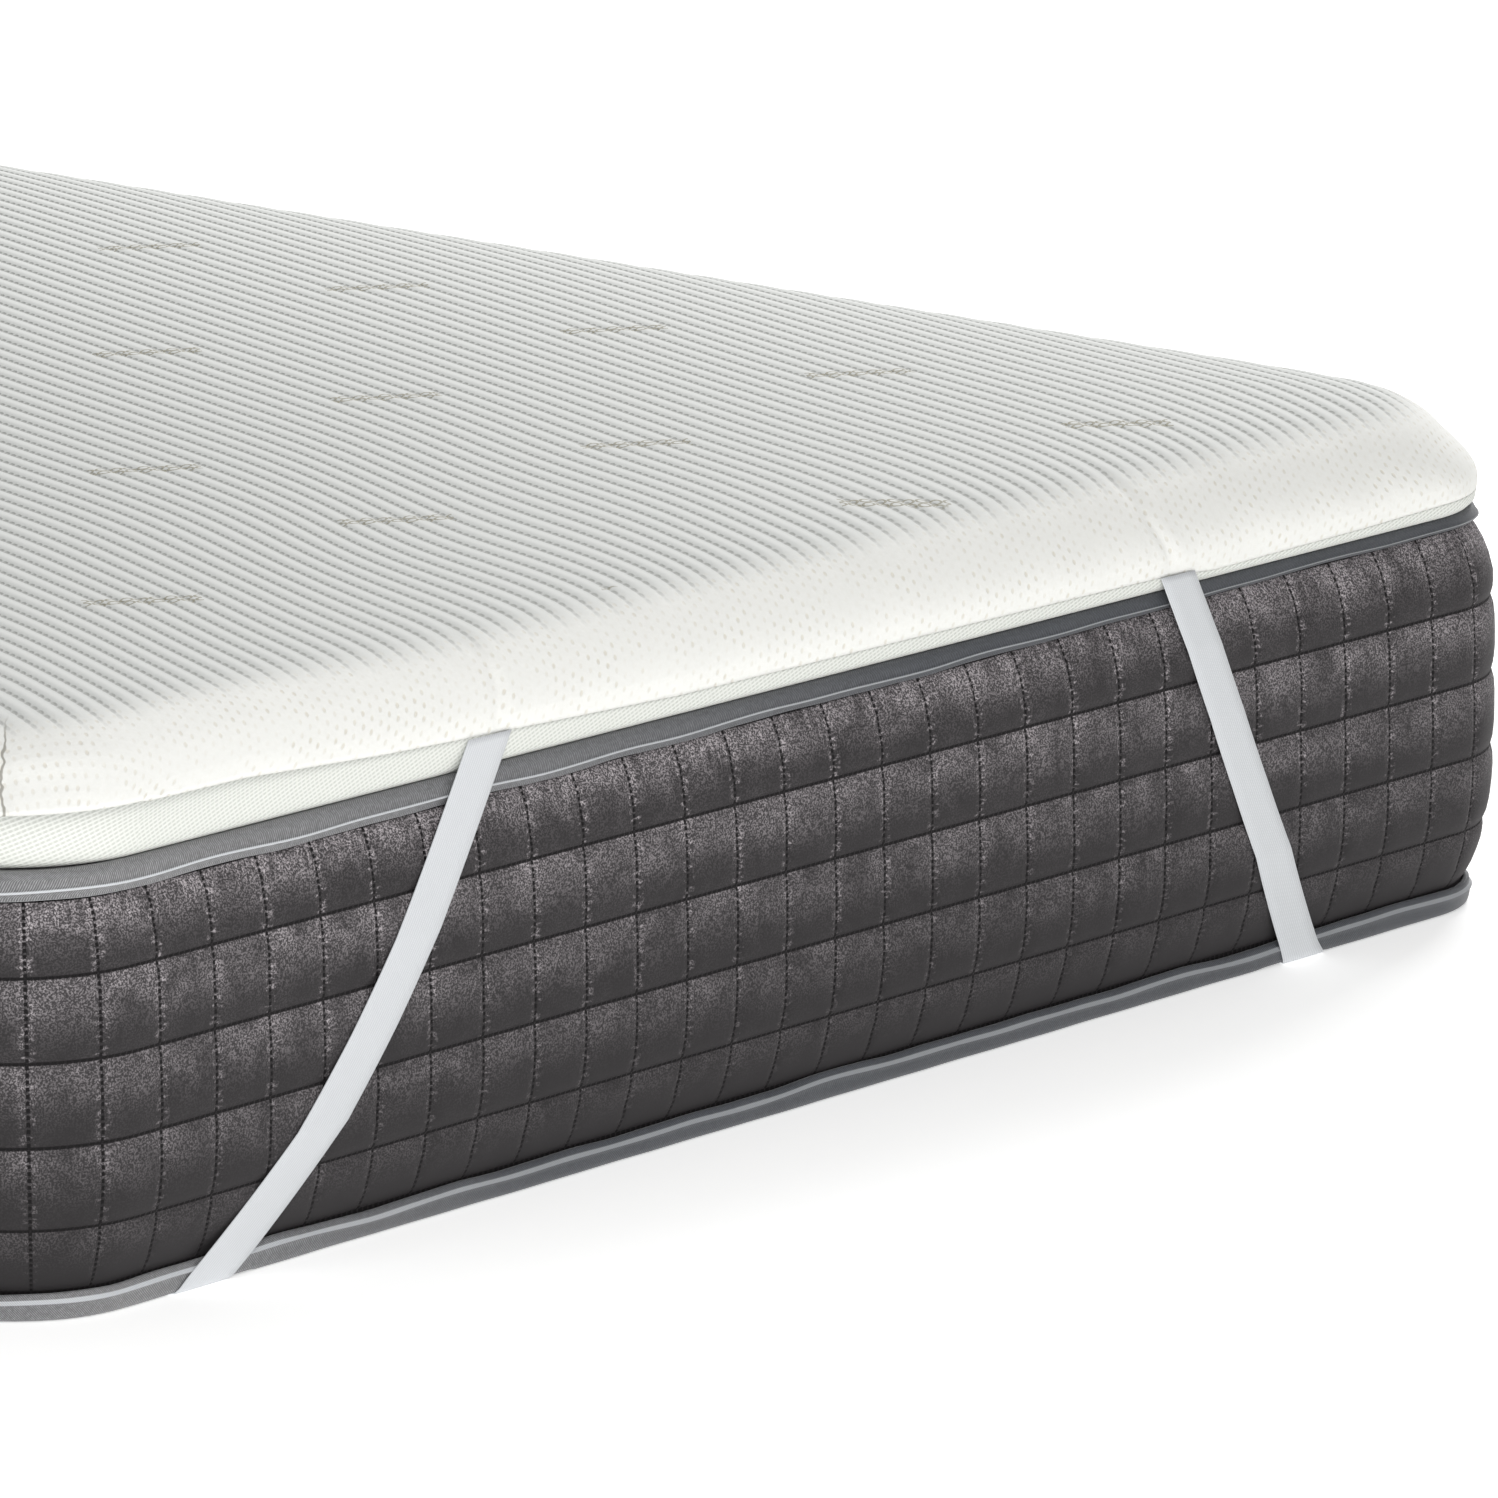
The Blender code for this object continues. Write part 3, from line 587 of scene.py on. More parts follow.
# Painted highlight: a pale line is painted along the raised line; the tape's own pale selvedge line along
# its edge is added to it
bead_highlight_and_selvedge = add("MapRange", {0: off_bead, 1: 0.0018, 2: 0.0010}, interpolation_type="SMOOTHSTEP")
edge = add("MapRange", {0: off_edge, 1: 0.0009, 2: 0.0003, 3: 0.0, 4: 0.55})
bead_highlight_and_selvedge = add("Math", {0: bead_highlight_and_selvedge, 1: edge}, operation="MAXIMUM")
# The painted highlight is dimmed where painted shade lies on the tape
highlight_dimmed_in_shade = add("MapRange", {0: folded, 3: 1.0, 4: 0.55})
twist = add("MapRange", {0: lines, 3: 0.70, 4: 1.0})
for share in (highlight_dimmed_in_shade, twist):
    bead_highlight_and_selvedge = add("Math", {0: bead_highlight_and_selvedge, 1: share}, operation="MULTIPLY")
# The painted highlight and the selvedge are mixed in as a pale blue-grey
colour = add("Mix", {0: bead_highlight_and_selvedge, 6: weave, 7: linear("#DCDFE3")}, 2, data_type="RGBA")
finish(shader, colour, lines, 0.5, 0.0003)
for tape in (top_tape, bottom_tape):
    dress(tape, twill)

# %% [markdown]
# The topper's underside is a panel of spacer mesh, turned up round the foam to a seam with the knit.
# The seam is not level: it climbs towards the left, as the cover was pulled on unevenly. Its height
# is a short table for each side. The panel is a thin closed tray of cloth that lies on the mattress,
# and its wall follows the same measured curve as the knit above it, so that the two meet smoothly.

# %% The topper's seam and the curve of its side
SEAM_TABLES = [
    [(0.0, 0.0300), (0.17, 0.0285), (0.29, 0.0220), (0.54, 0.0130), (0.90, 0.0105), (0.99, 0.0095),
     (1.03, 0.0060), (1.18, 0.0080), (1.35, 0.0125)],
    [(0.0, 0.0125), (0.60, 0.0130), (1.20, 0.0170), (1.90, 0.0150)],
    [(0.0, 0.0150), (0.50, 0.0110), (0.95, 0.0160), (1.35, 0.0220)],
    [(0.0, 0.0220), (0.55, 0.0160), (1.30, 0.0200), (1.90, 0.0300)],
]
KNIT_SIDE = np.array([
    (0.0000, 0.0105), (0.010, 0.0085), (0.025, 0.0080), (0.035, 0.0115), (0.045, 0.0180),
    (0.055, 0.0265), (0.0625, 0.0380), (0.068, 0.0530), (0.0715, 0.0730)])
TOPPER_EDGE = 0.0715
TOPPER_CROWN = 0.0785
CROWN_REACH = 0.060


def seam_height(run):
    """Height of the seam of knit and mesh over the topper's base."""
    side, share, turn = split_run(run)
    distance = CORNER_RADIUS * (1 + turn) + share * np.array(SIDE_RUNS)[side]
    tables = [np.interp(distance, *zip(*table)) for table in SEAM_TABLES]
    return np.choose(side, tables)


def curve_through(table, share):
    """Points on a smooth curve through a table's points, at shares of its length from 0 to 1."""
    way = np.append(0, np.cumsum(np.linalg.norm(np.diff(table, axis=0), axis=1)))
    slope = np.gradient(table, way, axis=0)
    t = share * way[-1]
    i = np.clip(np.searchsorted(way, t, side="right") - 1, 0, len(way) - 2)
    h = (way[i + 1] - way[i])[:, None]
    s = ((t - way[i]) / h[:, 0])[:, None]
    return ((2 * s**3 - 3 * s**2 + 1) * table[i] + (s**3 - 2 * s**2 + s) * h * slope[i]
            + (3 * s**2 - 2 * s**3) * table[i + 1] + (s**3 - s**2) * h * slope[i + 1])


side_curve = curve_through(KNIT_SIDE, np.linspace(0, 1, 400))
side_way = np.append(0, np.cumsum(np.linalg.norm(np.diff(side_curve, axis=0), axis=1)))
print("knit from base to top edge:", round(float(side_way[-1]), 4), "m")


def side_inset(height):
    """How far the topper's side lies inside the widest line at a height over its base."""
    return np.interp(height, side_curve[:, 0], side_curve[:, 1])


# %% The topper's corners
TOPPER_ROUNDER = 0.010
TOP_ROUNDER = 0.024
ROUNDER_START = 0.015
ROUNDER_RISE = 0.035
CORNER_DROP = 0.004
CORNER_DROP_START = 0.030
CORNER_DROP_REACH = 0.110


def corner_drop(x, y, height):
    """How far the topper lies lower near the bed's corners, most of all at its top."""
    distance = np.hypot(WIDTH / 2 - np.abs(x), LENGTH / 2 - np.abs(y))
    upper = smooth((height - CORNER_DROP_START) / (TOPPER_EDGE - CORNER_DROP_START))
    return CORNER_DROP * upper * np.exp(-((distance / CORNER_DROP_REACH) ** 2))


def topper_points(run, inset, height):
    """Points of the topper: its corners are rounder than the bed's, and slope off at the top."""
    rounder = TOPPER_ROUNDER + TOP_ROUNDER * smooth((height - ROUNDER_START) / ROUNDER_RISE)
    points = outline(run, inset, TOPPER_BASE + height, rounder)
    points[..., 2] -= corner_drop(points[..., 0], points[..., 1], height)
    return points


# %% Make the tray
TRAY_FOOT = [(0.0200, 0.0000), (0.0150, 0.0001), (0.0130, 0.0008), (0.0114, 0.0022)]
TRAY_INSIDE = [(0.0125, 0.0000, 1.0), (0.0130, 0.0055, 0.0), (0.0152, 0.0035, 0.0), (0.0205, 0.0025, 0.0)]
TRAY_WALL = np.linspace(0.0, 1.0, 6)
WALL_START = 0.0040
KNIT_COLUMNS = 1280


def make_tray():
    run = np.arange(KNIT_COLUMNS) * PERIMETER / KNIT_COLUMNS
    seam = seam_height(run)
    rings = [topper_points(run, d + 0 * run, h + 0 * run) for d, h in TRAY_FOOT]
    for share in TRAY_WALL:
        height = WALL_START + (seam - WALL_START) * share
        rings.append(topper_points(run, side_inset(height), height))
    rings += [topper_points(run, d + 0 * run, h + share * seam) for d, h, share in TRAY_INSIDE]
    points = np.array(rings)
    lengths = np.linalg.norm(np.diff(points, axis=0), axis=2)
    way = np.concatenate([0 * lengths[:1], np.cumsum(lengths, axis=0)])
    way = np.concatenate([way, way[:, :1]], axis=1)
    u, v = np.broadcast_arrays(np.arange(KNIT_COLUMNS + 1) * PERIMETER / KNIT_COLUMNS, way)
    faces = ring_faces(len(rings), KNIT_COLUMNS).tolist()
    cloth = ring_map(u, v)
    points = np.concatenate([points.reshape(-1, 3), [(0, 0, rings[0][0, 2]), (0, 0, rings[-1][0, 2])]])
    last = (len(rings) - 1) * KNIT_COLUMNS
    for c in range(KNIT_COLUMNS):
        after = (c + 1) % KNIT_COLUMNS
        faces.append((after, c, len(points) - 2))
        faces.append((last + c, last + after, len(points) - 1))
    caps = np.tile([0.0, 0.0], (6 * KNIT_COLUMNS, 1))
    return make_mesh("spacer_mesh_tray", points, faces, {"wall": np.concatenate([cloth, caps])})


tray = make_tray()
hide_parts("topper_base_mesh")

# %% [markdown]
# White polyester spacer mesh: an open knit with slanting rows of small holes, 2.5 mm apart.

# %% Spacer mesh
MESH_PITCH = 0.0025
MESH_SLANT = math.radians(22)
spacer, shader, add = new_material("white polyester spacer mesh", {"Roughness": 0.8, "Sheen Weight": 0.15})
cloth = add("UVMap", {}, uv_map="wall")
turned = add("Mapping", {"Vector": cloth, "Rotation": (0.0, 0.0, -MESH_SLANT)})
x, y = [add("SeparateXYZ", {0: turned}, axis) for axis in (0, 1)]
row = stripes(add, y, 1 / MESH_PITCH, {1: 0.12, 2: 0.34}, interpolation_type="SMOOTHSTEP")
hole = stripes(add, x, 1 / (1.3 * MESH_PITCH), {1: 0.05, 2: 0.30, 3: 0.45, 4: 1.0})
holes = add("Math", {0: row, 1: hole}, operation="MULTIPLY")
colour = add("Mix", {0: holes, 6: linear("#ECEEE8"), 7: linear("#CED0C9")}, 2, data_type="RGBA")
finish(shader, colour, holes, 0.5, 0.0004, sunk=True)
dress(tray, spacer)

# %% [markdown]
# The topper pad: foam in a knit cover. Its side bulges a little over the seam and then rolls over
# into a nearly flat top. Foam under a stretched cover gives this soft shoulder, so the side is a
# smooth curve through a few measured points. On top the knit forms ribs about 14 mm apart that lean
# to the right going back, and bend near the front where the cover was pulled out of true. They are
# real ridges here. The cloth is laid out flat, with the side folded out round the top. Lines of
# points follow each rib's crest, shoulders and furrow on that flat cloth, a triangulation joins
# them, and then the cloth is folded down over the edge, where the ribs fade away.

# %% Fold the flat cloth over the pad
TOP_RADIUS = CORNER_RADIUS + TOPPER_ROUNDER + TOP_ROUNDER
EDGE_INSET = KNIT_SIDE[-1, 1]


def inset_at(x, y):
    """How far a point of the unfolded cloth lies inside the widest line; less than nothing is
    possible, because the cloth of the side is folded out flat round the top."""
    across = np.abs(x) - (WIDTH / 2 - TOP_RADIUS)
    along = np.abs(y) - (LENGTH / 2 - TOP_RADIUS)
    outside = np.hypot(np.maximum(across, 0), np.maximum(along, 0))
    return TOP_RADIUS - (outside + np.minimum(np.maximum(across, along), 0))


def run_at(x, y):
    """The run of the point on the outline that is nearest to a point of the unfolded cloth."""
    half = np.array([WIDTH / 2, LENGTH / 2]) - TOP_RADIUS
    cx, cy = np.clip(x, -half[0], half[0]), np.clip(y, -half[1], half[1])
    turned = np.arctan2(y - cy, x - cx) / (np.pi / 2)
    side = np.floor(turned + 1 + 1e-9).astype(int) % 4
    turn = np.clip(turned + 1 - np.floor(turned + 1 + 1e-9), 0, 1)
    spots = [(cx / half[0] + 1) / 2, (cy / half[1] + 1) / 2, (1 - cx / half[0]) / 2, (1 - cy / half[1]) / 2]
    share = np.choose(side, spots)
    return SIDE_STARTS[side] + np.array(SIDE_RUNS)[side] * share + turn * CORNER_RUN * (share > 0.9999)


def fold(x, y, relief):
    """Where points of the unfolded cloth lie on the topper, raised by relief off its surface."""
    inset = inset_at(x, y)
    half = np.array([WIDTH / 2, LENGTH / 2]) - TOP_RADIUS
    cx, cy = np.clip(x, -half[0], half[0]), np.clip(y, -half[1], half[1])
    far = np.maximum(np.hypot(x - cx, y - cy), 1e-9)
    nx, ny = (x - cx) / far, (y - cy) / far
    way = side_way[-1] - np.maximum(EDGE_INSET - inset, 0)
    h = np.interp(way, side_way, side_curve[:, 0])
    d = np.interp(way, side_way, side_curve[:, 1])
    slope_h = np.interp(way, side_way, np.gradient(side_curve[:, 0], side_way))
    slope_d = np.interp(way, side_way, np.gradient(side_curve[:, 1], side_way))
    radius = CORNER_RADIUS + TOPPER_ROUNDER + TOP_ROUNDER * smooth((h - ROUNDER_START) / ROUNDER_RISE)
    out = radius - d + relief * slope_h
    side_x = cx / half[0] * (WIDTH / 2 - radius) + nx * out
    side_y = cy / half[1] * (LENGTH / 2 - radius) + ny * out
    rise = TOPPER_CROWN - TOPPER_EDGE
    crown = TOPPER_EDGE + rise * (1 - np.exp(-np.maximum(inset - EDGE_INSET, 0) / CROWN_REACH))
    on_side = inset < EDGE_INSET
    px, py = np.where(on_side, side_x, x), np.where(on_side, side_y, y)
    z = np.where(on_side, h + relief * slope_d, crown + relief)
    return np.stack([px, py, TOPPER_BASE + z - corner_drop(px, py, np.minimum(z, TOPPER_EDGE))], -1)


# %% Ribs on the flat cloth
RIB_PITCH = 0.0142
RIB_LEAN = 0.310
RIB_HEIGHT = 0.0015
RIB_PULLS = [(-0.14, -0.75, 0.0200), (-0.38, -0.84, 0.0156), (0.02, -0.63, 0.0085), (-0.30, -0.69, 0.0075),
             (0.02, -0.87, 0.0136), (-0.22, -0.87, 0.0110), (0.14, -0.72, 0.0052)]
PULL_TURN = math.radians(17)
PULL_LONG = 0.16
PULL_WIDE = 0.09
RIB_WANDER = [(0.0040, 2.0, 5.2, 0.6), (0.0015, -3.1, 11.0, 0.0)]
SHIFT_ROUNDS = 10
RIB_SECTION = [(0.0, 1.0), (0.2, 0.86), (0.38, 0.42), (0.5, 0.0), (0.62, 0.42), (0.8, 0.86)]
LINE_STEP = 24
ROLL_STEP = 7
ROLL_START = 0.095
RIB_SAMPLE = 0.001
OVERHANG = 0.06
SEAM_CLEAR = 0.0025
SHORTEST_RIB = 30


def rib_shift(x, y):
    """Sideways shift of the ribs where the cover has been pulled out of true near its front."""
    shift = sum(size * np.sin(a * x + b * y + phase) for size, a, b, phase in RIB_WANDER)
    for middle_x, middle_y, amount in RIB_PULLS:
        along = math.cos(PULL_TURN) * (x - middle_x) + math.sin(PULL_TURN) * (y - middle_y)
        across = math.cos(PULL_TURN) * (y - middle_y) - math.sin(PULL_TURN) * (x - middle_x)
        shift = shift - amount * np.exp(-((along / PULL_LONG) ** 2) - (across / PULL_WIDE) ** 2)
    return shift


def rib_number(x, y):
    """Counts ribs across the cloth: whole at a crest."""
    return (x - RIB_LEAN * y - rib_shift(x, y)) / RIB_PITCH


def rib_lines():
    """Lines along each rib's crest, shoulders and furrow on the unfolded cloth."""
    y = np.arange(-LENGTH / 2 - OVERHANG, LENGTH / 2 + OVERHANG, RIB_SAMPLE)
    reach = int((WIDTH / 2 + OVERHANG + (LENGTH / 2 + OVERHANG) * RIB_LEAN) / RIB_PITCH) + 3
    for n in range(-reach, reach + 1):
        for part, share in RIB_SECTION:
            x = (n + part) * RIB_PITCH + RIB_LEAN * y
            for _ in range(SHIFT_ROUNDS):
                x = (n + part) * RIB_PITCH + RIB_LEAN * y + rib_shift(x, y)
            folded = np.maximum(EDGE_INSET - inset_at(x, y), 0)
            start = np.interp(seam_height(run_at(x, y)), side_curve[:, 0], side_way)
            inside = np.flatnonzero(side_way[-1] - folded > start + SEAM_CLEAR)
            if len(inside) < SHORTEST_RIB:
                continue
            first, last = inside[0], inside[-1]
            near = np.flatnonzero(inset_at(x, y) < ROLL_START)
            picks = {first, last} | set(range(first + 8, last - 7, LINE_STEP))
            picks |= set(near[(near > first + 2) & (near < last - 2) & (near % ROLL_STEP == 0)].tolist())
            picks = sorted(picks)
            yield x[picks], y[picks], share


# %% Where the ribs fade and the cover is creased
SIDE_RIB_SHARE = 0.10
RIB_FADE = (-0.002, 0.032)
FADE_MORE = 0.014
FADE_MORE_FROM = -0.50
FADE_MORE_REACH = 0.22
STRAP_TOPS = (0.380, 0.361)
CREASE_DEPTH = 0.0011
CREASE_WIDTH = 0.0045
RIDGE_SHARE = 0.6
RIDGE_AWAY = 0.013
RIDGE_WIDTH = 0.007
JOINT_SHARE = 1.6
JOINT_WIDTH = 0.0035
CORNER_SEAM = 0.078


def side_fade(x, y):
    """1 on top, falling to 0 down the rolled edge."""
    down = EDGE_INSET - inset_at(x, y) - FADE_MORE * smooth((x - FADE_MORE_FROM) / FADE_MORE_REACH)
    return 1 - smooth((down - RIB_FADE[0]) / (RIB_FADE[1] - RIB_FADE[0]))


def off_joint(run):
    """Distance along the run from the upright seam that joins the cover's side band."""
    return run_apart(run, SIDE_STARTS[0] - CORNER_SEAM)


def creases(run):
    """The cover's side dips in an upright line over each strap's sewn end and at its one joint."""
    total = 0.0
    for side, reach in ((0, WIDTH), (1, LENGTH), (2, WIDTH), (3, LENGTH)):
        first, last = STRAP_TOPS if side % 2 == 0 else STRAP_TOPS[::-1]
        for place in (run_on(side, first), run_on(side, reach - last)):
            off = run_apart(run, place)
            total = total - np.exp(-((off / CREASE_WIDTH) ** 2))
            total = total + RIDGE_SHARE * np.exp(-(((off - RIDGE_AWAY) / RIDGE_WIDTH) ** 2))
    return CREASE_DEPTH * (total - JOINT_SHARE * np.exp(-((off_joint(run) / JOINT_WIDTH) ** 2)))


# %% Make the pad
PAD_SEAT = [(0.0210, 0.0029, 0.0), (0.0156, 0.0039, 0.0), (0.0134, 0.0058, 0.0), (0.0129, 0.0004, 1.0)]
SEAM_GAP = 0.0002
DIMPLE_PITCH = 0.0075
JOINT_REACH = 0.02
LOOSE_WAVE = 0.0009
SEAM_BLEND = 0.008
CREASE_FADE = 0.05


def make_pad():
    run = np.arange(KNIT_COLUMNS) * PERIMETER / KNIT_COLUMNS
    seam = seam_height(run)
    rings = [topper_points(run, d + 0 * run, h + share * seam) for d, h, share in PAD_SEAT]
    start = np.interp(seam + SEAM_GAP, side_curve[:, 0], side_way)
    inset = EDGE_INSET - (side_way[-1] - start)
    edge = outline(run, inset, 0.0, TOPPER_ROUNDER + TOP_ROUNDER)
    coords = [Vector(p) for p in edge[:, :2].tolist()]
    bounds = [(i, (i + 1) % KNIT_COLUMNS) for i in range(KNIT_COLUMNS)]
    ridge = [0.5] * KNIT_COLUMNS
    for x, y, share in rib_lines():
        first = len(coords)
        coords += [Vector(p) for p in zip(x.tolist(), y.tolist())]
        bounds += [(first + i, first + i + 1) for i in range(len(x) - 1)]
        ridge += [share] * len(x)
    places, _, triangles, sources, _, _ = delaunay_2d_cdt(coords, bounds, [], 1, 1e-7)
    plan = np.array([tuple(p) for p in places])
    source = np.array([min(s) for s in sources])
    x, y = plan.T
    fade = side_fade(x, y)
    around = run_at(x, y)
    down = EDGE_INSET - inset_at(x, y)
    seam_way = np.interp(seam_height(around), side_curve[:, 0], side_way)
    over_seam = side_way[-1] - np.maximum(down, 0) - seam_way
    relief = (np.array(ridge)[source] - 0.5) * RIB_HEIGHT * (SIDE_RIB_SHARE + (1 - SIDE_RIB_SHARE) * fade)
    loose = (1 - fade) * LOOSE_WAVE * slow_wave(around, 21, (0.07, 0.12, 0.19, 0.33))
    dips = creases(around) * smooth(down / CREASE_FADE)
    top = fold(x, y, (relief + loose + dips) * smooth(over_seam / SEAM_BLEND))
    number = np.arange(len(top)) + len(rings) * KNIT_COLUMNS
    number_of_edge = np.zeros(KNIT_COLUMNS, int)
    number_of_edge[source[source < KNIT_COLUMNS]] = number[source < KNIT_COLUMNS]
    points = np.concatenate([np.array(rings).reshape(-1, 3), top])
    faces = ring_faces(len(rings), KNIT_COLUMNS).tolist()
    last = (len(rings) - 1) * KNIT_COLUMNS
    for c in range(KNIT_COLUMNS):
        after = (c + 1) % KNIT_COLUMNS
        faces.append((last + c, last + after, number_of_edge[after], number_of_edge[c]))
    faces.append(list(range(KNIT_COLUMNS))[::-1])
    faces += number[np.array(triangles)].tolist()
    seat = np.tile(edge[:, :2], (len(rings), 1))
    plan = np.concatenate([seat, plan])
    along = plan[:, 1] * math.hypot(1, RIB_LEAN) / DIMPLE_PITCH
    rib = np.column_stack([rib_number(plan[:, 0], plan[:, 1]), along])
    corners = np.array([i for face in faces for i in face])
    ribbed = np.concatenate([np.zeros(len(seat)), fade])
    sewn = np.clip(off_joint(around), -JOINT_REACH, JOINT_REACH)
    sewn = np.concatenate([np.ones(len(seat)), sewn])
    return make_mesh("topper_knit_pad", points, faces, {"rib": rib[corners], "plan": plan[corners]},
                     {"ribbed": ribbed, "sewn": sewn})


pad = make_pad()
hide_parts("topper_pad")

# %% [markdown]
# Ribbed polyester knit. On top it is painted pale grey, as painted shade, because the top gets less light
# than the front: each rib's crest is painted light as a painted highlight, its furrow painted darker as
# painted shade, and between two crests runs a column of round dimples where the knit is tied down,
# painted darker as the shade in their depth. On the side the same yarn lies smooth and white, with small
# sand-coloured tie points 8 mm apart in staggered rows. Short chains of leaves in sand-coloured yarn are
# knitted into the top here and there: each leaf is a small ring, and a chain is cut out of an endless
# row of them.

# %% Ribbed knit
# Round dimples and tie points, then the leaf chains, then the seam, in metres and radians
DIMPLE_SIZE = 0.0017
DOT_PITCH = 0.0080
DOT_SIZE = 0.0012
MOTIF_ACROSS = 0.300
MOTIF_UP = 0.180
MOTIF_TURN = 0.62
LEAF_PITCH = 0.0085
LEAF_PAIRS = 4
LEAF_LENGTH = 0.0150
MOTIF_SHIFT = 0.39
SEAM_WAVER = 0.006
knit, shader, add = new_material("ribbed polyester knit", {"Roughness": 0.85, "Sheen Weight": 0.1})
place = add("TexCoord", {}, 3)
cloth = add("UVMap", {}, uv_map="rib")
u, v = [add("SeparateXYZ", {0: cloth}, axis) for axis in (0, 1)]
ribbed = add("Attribute", {}, 2, attribute_name="ribbed")
plain = add("Math", {0: 1.0, 1: ribbed}, operation="SUBTRACT")
half = add("Math", {0: u, 1: 2.0}, operation="MULTIPLY")
dot_v = add("Math", {0: v, 1: DIMPLE_PITCH / DOT_PITCH}, operation="MULTIPLY")
uneven = add("TexNoise", {"Vector": place, "Scale": 55.0, "Detail": 2.0})
uneven = add("MapRange", {0: uneven, 1: 0.35, 2: 0.65, 3: 0.10, 4: 1.0})
uneven = add("Math", {0: uneven, 1: plain}, operation="MULTIPLY")

# %% Round dimples between the ribs and small tie points on the side, both in staggered columns
rounds = []
for along, across, stagger, size, reach, width, share in (
        (v, u, 0.37, (RIB_PITCH, 0.6 * DIMPLE_PITCH, 0.0), DIMPLE_SIZE, (1.4, 0.5), ribbed),
        (dot_v, half, 0.5, (RIB_PITCH / 2, 0.7 * DOT_PITCH, 0.0), DOT_SIZE, (1.5, 0.5), uneven)):
    column = add("Math", {0: across}, operation="FLOOR")
    along = add("Math", {0: column, 1: stagger, 2: along}, operation="MULTIPLY_ADD")
    across, along = [add("Math", {0: part}, operation="FRACT") for part in (across, along)]
    cell = add("CombineXYZ", {0: across, 1: along, 2: 0.5})
    cell = add("VectorMath", {0: cell, 1: (0.5, 0.5, 0.5)}, operation="SUBTRACT")
    cell = add("VectorMath", {0: cell, 1: size}, operation="MULTIPLY")
    distance = add("VectorMath", {0: cell}, 1, operation="LENGTH")
    spot = add("MapRange", {0: distance, 1: width[0] * reach, 2: width[1] * reach},
               interpolation_type="SMOOTHSTEP")
    rounds.append(add("Math", {0: spot, 1: share}, operation="MULTIPLY"))
dimple, spot = rounds
# Masks for the painted highlight on each rib's crest and the painted shade in its furrow
middle = add("Math", {0: u, 1: 0.5}, operation="PINGPONG")
crest = add("MapRange", {0: middle, 1: 0.34, 2: 0.02}, interpolation_type="SMOOTHSTEP")
furrow = add("MapRange", {0: middle, 1: 0.34, 2: 0.47}, interpolation_type="SMOOTHSTEP")
crest, furrow = [add("Math", {0: part, 1: ribbed}, operation="MULTIPLY") for part in (crest, furrow)]

# %% Leaf chains: a row of small rings in each tile, and the tiles of one row a little along
flat = add("UVMap", {}, uv_map="plan")
flat = add("Mapping", {"Vector": flat, "Rotation": (0.0, 0.0, MOTIF_TURN)})
flat_x, flat_y = [add("SeparateXYZ", {0: flat}, axis) for axis in (0, 1)]
tile_y = add("Math", {0: flat_y, 1: 1 / MOTIF_UP}, operation="MULTIPLY")
tile_row = add("Math", {0: tile_y}, operation="FLOOR")
tile_x = add("Math", {0: flat_x, 1: 1 / MOTIF_ACROSS}, operation="MULTIPLY")
tile_x = add("Math", {0: tile_row, 1: MOTIF_SHIFT, 2: tile_x}, operation="MULTIPLY_ADD")
marks = []
for tile, size in ((tile_x, MOTIF_ACROSS), (tile_y, MOTIF_UP)):
    part = add("Math", {0: tile}, operation="FRACT")
    part = add("Math", {0: part, 1: 0.5}, operation="SUBTRACT")
    marks.append(add("Math", {0: part, 1: size}, operation="MULTIPLY"))
mark_end = add("Math", {0: marks[0]}, operation="ABSOLUTE")
mark_end = add("Math", {0: mark_end, 1: LEAF_PITCH * LEAF_PAIRS}, operation="LESS_THAN")
leaf_x = add("Math", {0: marks[0], 1: LEAF_PITCH / 2}, operation="PINGPONG")
leaf_x = add("Math", {0: leaf_x, 1: 2 / LEAF_PITCH}, operation="MULTIPLY")
leaf_y = add("Math", {0: marks[1], 1: 2 / LEAF_LENGTH}, operation="MULTIPLY")
leaf_y = add("Math", {0: leaf_y}, operation="ABSOLUTE")
leaf_y = add("Math", {0: leaf_y, 1: 2.0, 2: -1.0}, operation="MULTIPLY_ADD")
leaf = add("CombineXYZ", {0: leaf_x, 1: leaf_y, 2: 0.0})
leaf = add("VectorMath", {0: leaf}, 1, operation="LENGTH")
leaf = add("Math", {0: leaf, 1: 0.8}, operation="SUBTRACT")
leaf = add("Math", {0: leaf}, operation="ABSOLUTE")
leaf = add("MapRange", {0: leaf, 1: 0.26, 2: 0.12}, interpolation_type="SMOOTHSTEP")
on_top = add("MapRange", {0: ribbed, 1: 0.92, 2: 1.0})
motif = leaf
for share in (mark_end, on_top):
    motif = add("Math", {0: motif, 1: share}, operation="MULTIPLY")

# %% The cover's one upright seam, a thin wavering line
waver = add("TexNoise", {"Vector": place, "Scale": 110.0, "Detail": 1.0})
waver = add("Math", {0: waver, 1: 0.5}, operation="SUBTRACT")
sewn = add("Attribute", {}, 2, attribute_name="sewn")
sewn = add("Math", {0: waver, 1: SEAM_WAVER, 2: sewn}, operation="MULTIPLY_ADD")
sewn = add("Math", {0: sewn}, operation="ABSOLUTE")
sewn = add("MapRange", {0: sewn, 1: 0.0010, 2: 0.0004, 3: 0.0, 4: 0.80})
sewn = add("Math", {0: sewn, 1: plain}, operation="MULTIPLY")

# %% Colours and relief of the knit, with painted shade on the top and painted highlights on the rib crests
fuzz = add("TexNoise", {"Vector": place, "Scale": 420.0, "Detail": 2.0})
white = add("Mix", {0: fuzz, 6: linear("#F1F1EC"), 7: linear("#FAFAF6")}, 2, data_type="RGBA")
